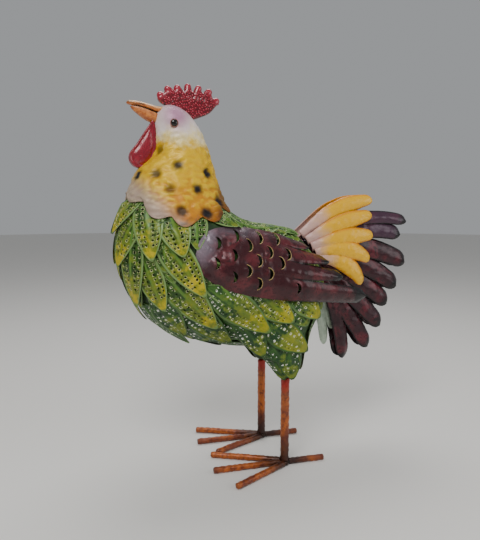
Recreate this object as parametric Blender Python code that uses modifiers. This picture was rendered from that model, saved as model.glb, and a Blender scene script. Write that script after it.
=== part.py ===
"""Painted sheet-metal garden rooster on two rod legs.

Metres, +Z up. The bird looks along -X and its left side is -Y. The origin is on the ground,
under the middle of the whole figure.
"""

import math

import bmesh
import bpy
from mathutils import Vector
from mathutils.bvhtree import BVHTree

# Driving dimensions, in metres
FIGURE_HEIGHT = 0.4722       # ground to the highest comb point
GROUND_SHIFT = 0.003         # legs stand this far behind the middle of the figure
STANCE = 0.085               # between the two leg centres
LEG_DIAMETER = 0.0100
LEG_FLATS = 12
TOE_DIAMETER = 0.0080
TOE_FLATS = 8
MIDDLE_TOE = 0.092           # leg centre to toe end
BACK_TOE = 0.053
TOE_TURN = 3.0               # degrees the middle toe points to the bird's right
# Side toes of each foot: name, degrees off straight ahead to the bird's right, length
SIDE_TOES = {
    "left": (("inner_toe", 30.0, 0.095), ("outer_toe", -28.0, 0.084)),
    "right": (("inner_toe", -24.0, 0.080), ("outer_toe", 28.0, 0.094)),
}
SHEET = 0.0010               # wall of wing and tail feathers
LEAF_SHEET = 0.0008          # wall of one leaf feather
LEAF_LIFT = 0.0045           # how far a leaf's point stands off the leaf below
LEAF_CLEAR = 0.0009          # under a leaf's root, on the faceted body
HOOD_FLARE = 0.0028          # rim of the neck hood above the body sheet
WATTLE_EDGE = 0.0016         # rolled rim of a wattle
COMB_THICKNESS = 0.015
EYE_DIAMETER = 0.0085
GAP = 0.0003                 # kept between pieces that touch

# The free forms are drawn in shares of the figure's height, with the ground below zero
DRAWN_TOP = 468.5
DRAWN_GROUND = -3.7
UNIT = FIGURE_HEIGHT / (DRAWN_TOP - DRAWN_GROUND)

# Main body: upper outline point, lower outline point (x, z) and half width of each section
BODY_SECTIONS = [
    ((19, 293), (67, 232), 27),
    ((2, 295.5), (56, 206), 41),
    ((-22, 298.5), (34, 180), 53),
    ((-44, 303), (6, 160), 61),
    ((-63, 315), (-25, 151.5), 65),
    ((-82, 332), (-60, 151), 66.5),
    ((-104, 348), (-92, 157), 66),
    ((-128, 355), (-120, 167), 63),
    ((-150, 353), (-143, 177), 57),
    ((-168, 346), (-160, 188), 50),
    ((-180, 334), (-173, 203), 42),
    ((-188, 320), (-184, 224), 33),
    ((-193.5, 301), (-192, 245), 21),
    ((-196.5, 284), (-196.5, 263), 9),
]
BODY_NOSE = (-197, 273.5)
BODY_SIDES = 18

# Thigh: height, front edge, rear edge, distance outside the leg centre, half width
THIGH_SECTIONS = [
    (111, -6, 9, 0, 7.5),
    (117, -11.5, 14.5, 0, 10),
    (129, -20, 18.5, 0, 14.5),
    (140, -31, 21.5, -0.5, 19),
    (152, -44, 25.5, -2.5, 23),
    (170, -62, 32, -6, 27),
    (200, -74, 49, -9, 30),
    (228, -66, 46, -17, 25),
]

# Neck hood: front and rear outline points and half width, from the crown down
HOOD_CROWN = (-131, 441.5)
HOOD_SECTIONS = [
    ((-140, 440), (-121, 438.5), 8),
    ((-147.5, 434), (-112.5, 433), 16),
    ((-151, 424), (-105, 425), 21.5),
    ((-151, 407), (-96.5, 413), 25),
    ((-152, 390), (-89, 397), 28),
    ((-159, 378), (-83.5, 380), 32),
    ((-174, 363.5), (-78.5, 363), 38),
    ((-180.5, 349), (-73, 345), 44.5),
    ((-185, 339), (-67.5, 329), 50),
]
HOOD_AXIS_X = -125
HOOD_RIM_FRONT = 333
HOOD_RIM_SIDE = 304
HOOD_RIM_REAR = 321
HOOD_SCALLOPS = 10
HOOD_SCALLOP_DEPTH = 9
HOOD_HEART_Z = 330           # a point inside the neck that its rim is drawn around
HOOD_FLOOR_Z = 315
FAR_OUT = 200                # start of a search line, well outside the figure

UPPER_BEAK = [
    ((-140, 438.5), (-140, 427), 10),
    ((-149, 438.8), (-149, 429.2), 9),
    ((-160, 441.5), (-160, 432.6), 7),
    ((-171, 443.4), (-171, 436.2), 5.2),
    ((-179, 443.2), (-179, 438), 3.2),
]
UPPER_BEAK_TIP = (-182.5, 440.3)
LOWER_BEAK = [
    ((-141, 426), (-142, 419), 9),
    ((-150, 428.9), (-151, 421.2), 7.8),
    ((-160, 432.0), (-161, 424.8), 5.8),
    ((-168, 434.6), (-169, 428.8), 4.2),
    ((-174, 436.4), (-175, 432.6), 2.4),
]
LOWER_BEAK_TIP = (-177.5, 436)

# Comb outline, a tip and the notch after it, from the front to the back, then the lower edge
COMB_POINTS = [(-148, 455), (-137.5, 463), (-125, 465.5), (-111, 468.5), (-96.5, 467),
               (-82, 463.5), (-71, 451.5)]
COMB_NOTCHES = [(-142.5, 455.5), (-131, 458.5), (-118.5, 459.5), (-103.5, 459.5),
                (-88.5, 456), (-78.5, 451.5)]
COMB_UNDER = [(-74, 443), (-84, 432.5), (-97, 426.5), (-106, 424), (-117, 432),
              (-131, 437), (-143, 440)]
COMB_TIP_WIDTH = 3.0
COMB_MIDDLE = (-109, 447)

WATTLE_OUTLINE = [(-153, 422), (-157, 417), (-164, 407), (-173, 394), (-180, 384),
                  (-180.5, 376), (-175, 370), (-168, 369), (-161, 375), (-156.5, 387),
                  (-154, 400), (-152.5, 412)]
WATTLE_MIDDLE = (-168, 382)
WATTLE_SIDE = 2.2
WATTLE_SWELL = 3.4

EYE_PLACE = (-130.5, 418.5)

# Tail feathers: root, bend and tip, each x, distance from the middle plane, z
TAIL_FEATHERS = [
    ((42, 4, 280), (118, 6, 320), (194, 5, 303)),
    ((45, 4, 275), (118, 6, 303), (184, 5, 285)),
    ((48, 4, 269), (122, 7, 281), (194, 5, 246)),
    ((52, 4, 263), (118, 7, 261), (181, 5, 213)),
    ((55, 4, 256), (113, 7, 239), (167, 5, 189)),
    ((58, 4, 250), (106, 7, 214), (157, 5, 159)),
    ((60, 4, 244), (99, 6, 194), (139, 5, 130)),
    ((62, 4, 238), (94, 5, 198), (100, 5, 117)),
]
TAIL_HALF_WIDTH = 12.5
TAIL_SPLIT = 0.80
YELLOW_FEATHERS = [
    ((34, 9, 286), (84, 9, 328), (137, 9, 332)),
    ((40, 13, 279), (88, 17, 306), (134, 14, 312)),
    ((46, 15, 271), (92, 23, 287), (134, 18, 285)),
    ((51, 17, 263), (98, 27, 276), (127, 22, 252)),
    ((55, 18, 256), (99, 29, 256), (114, 26, 221)),
]
YELLOW_HALF_WIDTH = 9.0
YELLOW_SPLIT = 0.59
UNDERTAIL_FEATHERS = [
    ((58, 0, 236), (92, 0, 222), (99, 0, 182)),
    ((54, 0, 230), (80, 0, 212), (85, 0, 158)),
    ((52, 0, 225), (70, 0, 204), (74, 0, 137)),
]
UNDERTAIL_HALF_WIDTH = 6.0
UNDERTAIL_SPLIT = 0.35
FEATHER_RISE = 2.6

# Wing: upper and lower outline points from the front to the roots of the rear fingers
WING_ROWS = [
    ((-117, 275), (-117.5, 262)),
    ((-113, 286), (-112.5, 250)),
    ((-104, 294.5), (-103, 240.5)),
    ((-89, 299), (-87, 231)),
    ((-66, 299.5), (-63, 223)),
    ((-40, 296), (-34, 217)),
    ((-12, 290), (-8, 213)),
    ((6, 283.5), (16, 210.5)),
]
WING_SHARES = [0.0, 0.147, 0.378, 0.643, 1.0]
WING_TIPS = [(24, 274), (47, 257), (66, 238), (104, 209.5)]
WING_TOP_SIDE = 43
WING_LOW_SIDE = 70
WING_DOME = 16
WING_REAR_DRAW = 26
WING_FRONT_DRAW = 12
WING_CLEAR = 2.4             # least room between wing and body, half a sheet included
WING_SEAT = (-106, -60)      # the top edge lies on the body between these x
WING_SEAT_CLEAR = 0.6

# Middles of the crescents punched in the wing, x and z
CRESCENTS = [
    (-90.6, 282.3), (-93.7, 260.2), (-66.4, 289.3), (-72.7, 268.8), (-74.5, 244.5),
    (-52.5, 279.0), (-57.8, 250.8), (-37.2, 286.9), (-43.8, 261.7), (-45.1, 235.6),
    (-28.6, 270.6), (-31.6, 246.4), (-15.0, 284.7), (-15.9, 258.3), (-5.5, 267.5),
]
CRESCENT_HEIGHT = 13.0
CRESCENT_REACH = 6.4
CRESCENT_OPENING = 3.2

# Leaf feathers on one side: root and tip (x, z) seen from that side
LEAF_WIDTH = 26
LEAVES = [
    ((-173, 328), (-195, 290)), ((-163, 321), (-162, 263)), ((-142, 311), (-130, 267)),
    ((-178, 302), (-192, 255)), ((-178, 283), (-172, 212)), ((-168, 258), (-147, 208)),
    ((-147, 282), (-106, 224)), ((-142, 242), (-89, 186)), ((-153, 212), (-120, 178)),
    ((-124, 210), (-68, 166)), ((-89, 221), (-29, 177)), ((-38, 218), (-2, 187)),
    ((4, 213), (34, 190)), ((-61, 186), (-31, 149)), ((-25, 182), (16, 149)),
    ((-6, 152), (3, 116)), ((-52, 301), (-4, 290)),
]
LEAF_STATIONS = [(0.0, 0.0), (0.14, 0.62), (0.36, 1.0), (0.6, 0.9), (0.82, 0.5), (1.0, 0.0)]

# Share of a feather's length and share of its width there
FEATHER_STATIONS = [(0.0, 0.55), (0.3, 0.8), (0.58, 0.98), (0.78, 1.0), (0.9, 0.9),
                    (0.97, 0.62), (1.0, 0.26)]

parts = None
cutters = None


def start_scene():
    """Empty the scene and make the two collections."""
    global parts, cutters
    for item in list(bpy.data.objects):
        bpy.data.objects.remove(item, do_unlink=True)
    parts = bpy.data.collections.new("metal_hen_garden_statue")
    cutters = bpy.data.collections.new("cutters")
    bpy.context.scene.collection.children.link(parts)
    bpy.context.scene.collection.children.link(cutters)


def painted(name, colour, roughness=0.4, metallic=0.3):
    """A painted metal material."""
    material = bpy.data.materials.new(name)
    material.use_nodes = True
    shader = material.node_tree.nodes["Principled BSDF"]
    shader.inputs["Base Color"].default_value = (*colour, 1.0)
    shader.inputs["Roughness"].default_value = roughness
    shader.inputs["Metallic"].default_value = metallic
    return material


def keep(name, bm, material=None, cutter=False):
    """Turn a bmesh into a named object in the right collection."""
    bm.normal_update()
    bmesh.ops.recalc_face_normals(bm, faces=bm.faces)
    mesh = bpy.data.meshes.new(name)
    bm.to_mesh(mesh)
    bm.free()
    item = bpy.data.objects.new(name, mesh)
    if cutter:
        cutters.objects.link(item)
        item.hide_render = True
        item.display_type = "WIRE"
    else:
        parts.objects.link(item)
        mesh.materials.append(material)
        mesh.shade_smooth()
        mesh.set_sharp_from_angle(angle=math.radians(40))
    return item


def cut(item, cutter, operation="DIFFERENCE"):
    """Join or subtract another closed form."""
    step = item.modifiers.new(cutter.name, "BOOLEAN")
    step.object = cutter
    step.operation = operation
    step.solver = "EXACT"


def place(x, y, z):
    """A drawn point as a place in metres."""
    return Vector((x * UNIT + GROUND_SHIFT, y * UNIT, (z - DRAWN_GROUND) * UNIT))


def bend(a, b, c, d, t):
    """Smooth value between b and c."""
    return 0.5 * (2 * b + (c - a) * t + (2 * a - 5 * b + 4 * c - d) * t * t
                  + (3 * b - a - 3 * c + d) * t * t * t)


def refine(sections, steps):
    """Add smooth sections between the drawn ones."""
    rows = [(*top, *low, half) for top, low, half in sections]
    fine = []
    for i in range(len(rows) - 1):
        near = [rows[max(i - 1, 0)], rows[i], rows[i + 1], rows[min(i + 2, len(rows) - 1)]]
        for k in range(steps):
            fine.append([bend(*column, k / steps) for column in zip(*near)])
    fine.append(rows[-1])
    return [((r[0], r[1]), (r[2], r[3]), r[4]) for r in fine]


def oval(top, low, half, count, grow=0.0):
    """Ring through an upper and a lower outline point, grown outward by a distance in metres."""
    middle = (place(top[0], 0, top[1]) + place(low[0], 0, low[1])) / 2
    reach = (place(top[0], 0, top[1]) - place(low[0], 0, low[1])) / 2
    reach = reach * (1 + grow / reach.length)
    wide = half * UNIT + grow
    ring = []
    for i in range(count):
        angle = 2 * math.pi * i / count
        ring.append(middle + reach * math.cos(angle) + Vector((0, wide * math.sin(angle), 0)))
    return ring


def loft(rings, start=None, end=None):
    """Closed skin over rings of equal count, closed by a point or a flat cap."""
    bm = bmesh.new()
    rows = [[bm.verts.new(p) for p in ring] for ring in rings]
    count = len(rows[0])
    for a, b in zip(rows, rows[1:]):
        for i in range(count):
            k = (i + 1) % count
            bm.faces.new((a[i], a[k], b[k]))
            bm.faces.new((a[i], b[k], b[i]))
    for row, pole in ((rows[0], start), (rows[-1], end)):
        if pole is None:
            bm.faces.new(row)
            continue
        tip = bm.verts.new(pole)
        for i in range(count):
            bm.faces.new((row[i], row[(i + 1) % count], tip))
    return bm


def body_form(grow=0.0):
    """Main egg of the body, from the slanted rear rim to the breast."""
    rings = [oval(*section, BODY_SIDES, grow) for section in refine(BODY_SECTIONS, 2)]
    if grow:
        outward = sum(rings[0], Vector()) / BODY_SIDES - sum(rings[1], Vector()) / BODY_SIDES
        rings[0] = [p + outward.normalized() * grow for p in rings[0]]
    nose = place(BODY_NOSE[0], 0, BODY_NOSE[1]) - Vector((grow, 0, 0))
    return loft(rings, end=nose)


def thigh_form(side, grow=0.0):
    """One thigh, from the leg's top up into the body."""
    rings = []
    for z, front, rear, inward, half in THIGH_SECTIONS:
        centre = place((front + rear) / 2, 0, z)
        centre.y = side * (STANCE / 2 + inward * UNIT)
        along = (rear - front) / 2 * UNIT + grow
        across = half * UNIT + grow
        rings.append([centre + Vector((along * math.cos(a), across * math.sin(a), 0))
                      for a in (2 * math.pi * i / 12 for i in range(12))])
    if grow:
        rings[0] = [p - Vector((0, 0, grow)) for p in rings[0]]
    return loft(rings)


def make_body(material):
    """Egg and both thighs joined into one solid."""
    body = keep("body", body_form(), material)
    for side, name in ((-1, "left_thigh_form"), (1, "right_thigh_form")):
        thigh = keep(name, thigh_form(side), cutter=True)
        cut(body, thigh, "UNION")
    return body


def surface_of(item):
    """Search tree of an object's finished surface."""
    bpy.context.view_layer.update()
    return BVHTree.FromObject(item, bpy.context.evaluated_depsgraph_get())


def rim_height(angle):
    """Height of the hood's scalloped rim, angle 0 at the rear and half a turn at the breast."""
    share = (1 - math.cos(angle)) / 2
    middle = HOOD_RIM_REAR + (HOOD_RIM_FRONT - HOOD_RIM_REAR) * share ** 1.5
    dip = (middle - HOOD_RIM_SIDE) * math.sin(angle) ** 2
    turn = (abs(angle) / (2 * math.pi) * HOOD_SCALLOPS) % 1.0
    lobe = math.sin(math.pi * turn ** 1.35)
    return middle - dip - HOOD_SCALLOP_DEPTH * (lobe - 0.5)


def hood_form(body_surface, grow=0.0, count=30):
    """Neck and head, down to the scalloped rim that lies over the body."""
    rings = []
    for section in refine([(front, rear, half) for front, rear, half in HOOD_SECTIONS], 1):
        rings.append(oval(*section, count, grow))
    rim = []
    inner = []
    for i in range(count):
        angle = math.pi - 2 * math.pi * i / count
        height = rim_height(angle) - 1.5 * grow / UNIT
        outside = place(HOOD_AXIS_X + FAR_OUT * math.cos(angle), 0, height)
        outside.y = FAR_OUT * UNIT * math.sin(angle)
        aim = place(HOOD_AXIS_X, 0, height) - outside
        hit, normal = body_surface.ray_cast(outside, aim.normalized())[:2]
        lift = HOOD_FLARE + grow
        rim.append(hit + normal * lift)
        inner.append(hit - normal * 4 * HOOD_FLARE)
    middle = [a.lerp(b, 0.5) + (a - place(HOOD_AXIS_X, 0, HOOD_HEART_Z)).normalized() * 0.001
              for a, b in zip(rings[-1], rim)]
    rings += [middle, rim, inner]
    crown = place(HOOD_CROWN[0], 0, HOOD_CROWN[1]) + Vector((0, 0, grow))
    return loft(rings, start=crown, end=place(HOOD_AXIS_X, 0, HOOD_FLOOR_Z))


def beak(name, sections, tip, hood_space, material):
    """Half of the beak, cut off where it meets the head."""
    rings = [oval(*section, 10) for section in sections]
    item = keep(name, loft(rings, end=place(tip[0], 0, tip[1])), material)
    cut(item, hood_space)
    return item


def pillow(outline, middle, layers, side, offset):
    """Closed form from an outline: layers of (share towards the middle, height off the plane)."""
    rings = []
    for share, height in layers:
        ring = []
        for x, z in outline:
            point = place(x + (middle[0] - x) * share, 0, z + (middle[1] - z) * share)
            point.y = side * (offset + height)
            ring.append(point)
        rings.append(ring)
    return loft(rings)


def comb_outline():
    """Six blunt points with round notches, then the smooth lower edge."""
    ring = []
    for i, (x, z) in enumerate(COMB_POINTS):
        away = Vector((x - COMB_MIDDLE[0], z - COMB_MIDDLE[1])).normalized()
        across = Vector((away.y, -away.x)) * COMB_TIP_WIDTH / 2
        ring.append((x - across.x - away.x * 2, z - across.y - away.y * 2))
        ring.append((x, z))
        ring.append((x + across.x - away.x * 2, z + across.y - away.y * 2))
        if i < len(COMB_NOTCHES):
            ring.append(COMB_NOTCHES[i])
    return ring + COMB_UNDER


def bezier(a, b, c, t):
    """Point of a curve from a to c pulled towards b."""
    return a * (1 - t) ** 2 + b * 2 * t * (1 - t) + c * t * t


def fan(name, feathers, half_width, split, side, material, thickness=SHEET):
    """One sheet of ribbed feathers that part towards their rounded tips."""
    stations = [s for s, wide in FEATHER_STATIONS]
    widths = [wide for s, wide in FEATHER_STATIONS]
    spines = []
    for root, knee, tip in feathers:
        ends = [place(p[0], side * p[1], p[2]) for p in (root, knee, tip)]
        spines.append([bezier(*ends, s) for s in stations])
    outward = Vector((0, side, 0))
    bm = bmesh.new()
    rows = []
    for i, spine in enumerate(spines):
        columns = [[], [], []]
        for k, s in enumerate(stations):
            run = spine[min(k + 1, len(spine) - 1)] - spine[max(k - 1, 0)]
            across = run.cross(outward).normalized() * side
            own = half_width * widths[k] * UNIT
            columns[1].append(bm.verts.new(spine[k] + outward * FEATHER_RISE * UNIT * min(1, 3 * s)))
            for column, step in ((0, -1), (2, 1)):
                other = i + step
                if 0 <= other < len(spines):
                    half_way = (spines[other][k] - spine[k]) / 2
                    if s <= split:
                        if step < 0:
                            columns[0].append(rows[other][2][k])
                        else:
                            columns[2].append(bm.verts.new(spine[k] + half_way))
                        continue
                    room = min(own, half_way.length * 0.92)
                    columns[column].append(bm.verts.new(spine[k] + half_way.normalized() * room))
                else:
                    columns[column].append(bm.verts.new(spine[k] - across * step * own))
        rows.append(columns)
    for columns in rows:
        for a, b in ((columns[0], columns[1]), (columns[1], columns[2])):
            for k in range(len(stations) - 1):
                bm.faces.new((a[k], a[k + 1], b[k + 1], b[k]))
    item = keep(name, bm, material)
    wall = item.modifiers.new("wall", "SOLIDIFY")
    wall.thickness = thickness
    wall.offset = 0.0
    return item


def wing_side(x, share, z, surface):
    """Distance of the wing's inner face from the middle plane: a dome that rests on the body."""
    dome = WING_TOP_SIDE + (WING_LOW_SIDE - WING_TOP_SIDE) * share
    dome += WING_DOME * 4 * share * (1 - share)
    dome -= WING_REAR_DRAW * (max(0, x + 10) / 114) ** 2
    dome -= WING_FRONT_DRAW * (max(0, -72 - x) / 45) ** 2
    start = place(x, -FAR_OUT, z)
    hit = surface.ray_cast(start, Vector((0, 1, 0)))[0]
    if hit is None:
        return dome
    if share == 0 and WING_SEAT[0] < x < WING_SEAT[1]:
        return -hit.y / UNIT + WING_SEAT_CLEAR
    return max(dome, -hit.y / UNIT + WING_CLEAR)


def crescents(side):
    """All crescent cutters of one wing as closed bars across it."""
    bm = bmesh.new()
    for middle, z in CRESCENTS:
        x = middle - CRESCENT_REACH + CRESCENT_OPENING / 2
        ring = []
        for i in range(5):
            a = math.pi * (i / 4 - 0.5)
            ring.append((x + CRESCENT_REACH * math.cos(a), z + CRESCENT_HEIGHT / 2 * math.sin(a)))
        for i in range(3, 0, -1):
            a = math.pi * (i / 4 - 0.5)
            inner = CRESCENT_REACH - CRESCENT_OPENING
            ring.append((x + inner * math.cos(a), z + CRESCENT_HEIGHT / 2 * math.sin(a)))
        near = [bm.verts.new(place(px, side * 60, pz)) for px, pz in ring]
        far = [bm.verts.new(place(px, side * 100, pz)) for px, pz in ring]
        bm.faces.new(near)
        bm.faces.new(far)
        for i in range(len(ring)):
            j = (i + 1) % len(ring)
            bm.faces.new((near[i], near[j], far[j], far[i]))
    return bm


def wing(name, side, surface, material):
    """Domed wing sheet that parts into four fingers behind."""
    shares = []
    for a, b in zip(WING_SHARES, WING_SHARES[1:]):
        shares += [a, (a + b) / 2]
    shares.append(WING_SHARES[-1])
    bm = bmesh.new()

    def corner(x, z, share):
        return bm.verts.new(place(x, side * wing_side(x, share, z, surface), z))

    rows = []
    for top, low in WING_ROWS:
        rows.append([corner(top[0] + (low[0] - top[0]) * s, top[1] + (low[1] - top[1]) * s, s)
                     for s in shares])
    for a, b in zip(rows, rows[1:]):
        for i in range(len(shares) - 1):
            bm.faces.new((a[i], a[i + 1], b[i + 1], b[i]))
    top, low = WING_ROWS[-1]
    for j, tip in enumerate(WING_TIPS):
        last = rows[-1][2 * j:2 * j + 3]
        s = shares[2 * j + 1]
        half = (WING_SHARES[j + 1] - WING_SHARES[j]) * (top[1] - low[1]) / 2
        start = (top[0] + (low[0] - top[0]) * s, top[1] + (low[1] - top[1]) * s)
        run = Vector((tip[0] - start[0], tip[1] - start[1])).normalized()
        for along, wide in ((0.3, 0.9), (0.62, 0.72), (0.88, 0.48), (1.0, 0.2)):
            x = start[0] + (tip[0] - start[0]) * along
            z = start[1] + (tip[1] - start[1]) * along
            across = Vector((-run.y, run.x)) * half * wide
            fresh = [corner(x + across.x * k, z + across.y * k, s) for k in (1, 0, -1)]
            for i in range(2):
                bm.faces.new((last[i], last[i + 1], fresh[i + 1], fresh[i]))
            last = fresh
    item = keep(name, bm, material)
    wall = item.modifiers.new("wall", "SOLIDIFY")
    wall.thickness = SHEET
    wall.offset = 0.0
    punch = keep(name + "_crescents", crescents(side), cutter=True)
    cut(item, punch)
    return item


def leaf(name, side, root, tip, surface, material):
    """One pointed sheet leaf that lies on the body and stands off towards its tip."""
    def on_body(x, z):
        return surface.ray_cast(place(x, side * FAR_OUT, z), Vector((0, -side, 0)))[0]

    start, end = on_body(*root), on_body(*tip)
    bm = bmesh.new()
    rows = []
    for s, wide in LEAF_STATIONS:
        near, normal = surface.find_nearest(start.lerp(end, s))[:2]
        across = (end - start).cross(normal).normalized() * LEAF_WIDTH / 2 * UNIT * wide
        lift = LEAF_CLEAR + LEAF_SHEET / 2 + LEAF_LIFT * s
        row = []
        for k in (-1, 0, 1):
            if wide == 0 and k:
                continue
            spot, out = surface.find_nearest(near + across * k)[:2]
            row.append(bm.verts.new(spot + out * lift))
        rows.append(row)
    for a, b in zip(rows, rows[1:]):
        if len(a) == 1:
            bm.faces.new((a[0], b[0], b[1]))
            bm.faces.new((a[0], b[1], b[2]))
        elif len(b) == 1:
            bm.faces.new((a[0], b[0], a[1]))
            bm.faces.new((a[1], b[0], a[2]))
        else:
            for i in range(2):
                bm.faces.new((a[i], b[i], b[i + 1], a[i + 1]))
    item = keep(name, bm, material)
    wall = item.modifiers.new("wall", "SOLIDIFY")
    wall.thickness = LEAF_SHEET
    wall.offset = 0.0
    return item


def rod(name, start, end, diameter, sides, material, grow=0.0):
    """Straight round rod, one of its flats turned down when it lies."""
    bm = bmesh.new()
    run = end - start
    bmesh.ops.create_cone(bm, cap_ends=True, segments=sides, radius1=diameter / 2 + grow,
                          radius2=diameter / 2 + grow, depth=run.length)
    turn = run.to_track_quat("Z", "Y")
    spin = math.pi / sides
    for vert in bm.verts:
        c, s = math.cos(spin), math.sin(spin)
        x, y, z = vert.co
        vert.co = turn @ Vector((x * c - y * s, x * s + y * c, z)) + (start + end) / 2
    return keep(name, bm, material, cutter=material is None)


def eye(name, side, surface, material):
    """Bead with a flat back on the side of the head."""
    start = place(EYE_PLACE[0], side * 100, EYE_PLACE[1])
    hit, normal = surface.ray_cast(start, Vector((0, -side, 0)))[:2]
    bm = bmesh.new()
    bmesh.ops.create_uvsphere(bm, u_segments=10, v_segments=6, radius=EYE_DIAMETER / 2)
    turn = normal.to_track_quat("Z", "Y")
    for vert in bm.verts:
        x, y, z = vert.co
        vert.co = turn @ Vector((x, y, max(z, 0) * 0.75)) + hit + normal * GAP
    bmesh.ops.remove_doubles(bm, verts=bm.verts, dist=0.00001)
    return keep(name, bm, material)


def foot(side, word, material):
    """Leg rod down to the ground with four toes around it."""
    top = place(0, 0, THIGH_SECTIONS[0][0]).z - GAP
    lie = TOE_DIAMETER / 2 * math.cos(math.pi / TOE_FLATS)
    sole = Vector((GROUND_SHIFT, side * STANCE / 2, 0))
    rod(word + "_leg", sole, sole + Vector((0, 0, top)), LEG_DIAMETER, LEG_FLATS, material)
    hub = sole + Vector((0, 0, lie))

    def toe(name, heading, length, material):
        way = Vector((-math.cos(math.radians(heading)), math.sin(math.radians(heading)), 0))
        start = hub + way * (LEG_DIAMETER / 2 + GAP)
        return rod("%s_%s" % (word, name), start, hub + way * length, TOE_DIAMETER,
                   TOE_FLATS, material)

    middle = toe("middle_toe", TOE_TURN, MIDDLE_TOE, material)
    toe("back_toe", 180 + TOE_TURN, BACK_TOE, material)
    way = Vector((-math.cos(math.radians(TOE_TURN)), math.sin(math.radians(TOE_TURN)), 0))
    space = rod(middle.name + "_space", hub, hub + way * (MIDDLE_TOE + TOE_DIAMETER),
                TOE_DIAMETER, TOE_FLATS, None, GAP)
    for name, heading, length in SIDE_TOES[word]:
        cut(toe(name, heading, length, material), space)


def main():
    start_scene()
    green = painted("leaf_green_paint", (0.10, 0.19, 0.04))
    yellow = painted("neck_yellow_paint", (0.80, 0.50, 0.06))
    crimson = painted("comb_crimson_paint", (0.42, 0.02, 0.05), 0.3)
    orange = painted("beak_orange_paint", (0.72, 0.32, 0.07))
    black = painted("eye_black_paint", (0.01, 0.01, 0.01), 0.15)
    maroon = painted("wing_maroon_paint", (0.12, 0.02, 0.03))
    gold = painted("tail_yellow_paint", (0.85, 0.50, 0.03))
    sage = painted("undertail_grey_green_paint", (0.33, 0.42, 0.30))
    rust = painted("leg_rust_paint", (0.35, 0.12, 0.04), 0.5)

    body = make_body(green)
    surface = surface_of(body)
    body_space = keep("body_space", body_form(GAP), cutter=True)

    hood = keep("hood", hood_form(surface), yellow)
    cut(hood, body_space)
    hood_space = keep("hood_space", hood_form(surface, GAP), cutter=True)

    beak("upper_beak", UPPER_BEAK, UPPER_BEAK_TIP, hood_space, orange)
    beak("lower_beak", LOWER_BEAK, LOWER_BEAK_TIP, hood_space, orange)

    thick = COMB_THICKNESS / 2 / UNIT
    layers = [(0.55, -thick), (0.25, -0.8 * thick), (0.0, -0.3 * thick),
              (0.0, 0.3 * thick), (0.25, 0.8 * thick), (0.55, thick)]
    layers = [(share, height * UNIT) for share, height in layers]
    comb = keep("comb", pillow(comb_outline(), COMB_MIDDLE, layers, 1, 0), crimson)
    cut(comb, hood_space)

    edge = WATTLE_EDGE / 2
    swell = WATTLE_SWELL * UNIT
    rim_layers = [(0.0, -edge), (0.0, edge), (0.16, edge), (0.26, edge * 0.4),
                  (0.5, swell * 0.8), (0.8, swell)]
    for side, word in ((-1, "left"), (1, "right")):
        form = pillow(WATTLE_OUTLINE, WATTLE_MIDDLE, rim_layers, side, WATTLE_SIDE * UNIT)
        wattle = keep(word + "_wattle", form, crimson)
        cut(wattle, hood_space)
        fan(word + "_tail_fan", TAIL_FEATHERS, TAIL_HALF_WIDTH, TAIL_SPLIT, side, maroon)
        fan(word + "_yellow_fan", YELLOW_FEATHERS, YELLOW_HALF_WIDTH, YELLOW_SPLIT, side, gold)
        cut(bpy.data.objects[word + "_tail_fan"], body_space)
        cut(bpy.data.objects[word + "_yellow_fan"], body_space)
        wing(word + "_wing", side, surface, maroon)
        cut(bpy.data.objects[word + "_wing"], body_space)
        cut(bpy.data.objects[word + "_wing"], hood_space)
        eye(word + "_eye", side, surface_of(hood), black)
        foot(side, word, rust)
        for i, (root, tip) in enumerate(LEAVES):
            item = leaf("%s_leaf_%02d" % (word, i + 1), side, root, tip, surface, green)
            cut(item, hood_space)
    fan("undertail_fan", UNDERTAIL_FEATHERS, UNDERTAIL_HALF_WIDTH, UNDERTAIL_SPLIT, 1, sage)
    cut(bpy.data.objects["undertail_fan"], body_space)


main()
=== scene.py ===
"""Painted sheet-metal garden rooster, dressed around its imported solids.

Metres, +Z up. The bird looks along -X, its left side is -Y, and the origin is on the ground.
The shapes are drawn in millimetres of the figure itself and placed by place().
"""

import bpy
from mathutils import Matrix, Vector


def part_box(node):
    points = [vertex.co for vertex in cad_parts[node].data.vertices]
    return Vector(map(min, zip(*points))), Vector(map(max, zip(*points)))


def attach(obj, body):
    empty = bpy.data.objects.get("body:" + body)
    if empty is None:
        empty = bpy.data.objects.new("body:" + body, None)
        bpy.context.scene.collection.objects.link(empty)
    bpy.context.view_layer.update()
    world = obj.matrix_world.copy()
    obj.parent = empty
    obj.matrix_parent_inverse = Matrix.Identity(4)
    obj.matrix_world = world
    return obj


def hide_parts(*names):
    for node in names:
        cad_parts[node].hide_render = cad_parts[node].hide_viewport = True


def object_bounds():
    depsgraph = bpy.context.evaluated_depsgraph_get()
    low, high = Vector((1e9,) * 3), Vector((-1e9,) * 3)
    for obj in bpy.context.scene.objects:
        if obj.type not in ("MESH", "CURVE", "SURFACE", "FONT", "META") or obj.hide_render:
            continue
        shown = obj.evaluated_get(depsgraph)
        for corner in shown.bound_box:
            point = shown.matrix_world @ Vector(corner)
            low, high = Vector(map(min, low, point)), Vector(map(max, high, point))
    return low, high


bl_info = {
    "name": "Metal garden rooster",
    "version": (1, 0, 0),
    "blender": (4, 5, 0),
    "location": "3D View > Sidebar > Garden rooster",
    "description": "Builds a painted sheet-metal garden rooster around its packed solids",
    "category": "Add Mesh",
}

import math
import random
from contextlib import contextmanager

import bmesh
import bpy
import numpy as np
from bpy.props import FloatProperty, FloatVectorProperty, IntProperty, PointerProperty
from mathutils import Vector, noise
from mathutils.bvhtree import BVHTree

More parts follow.
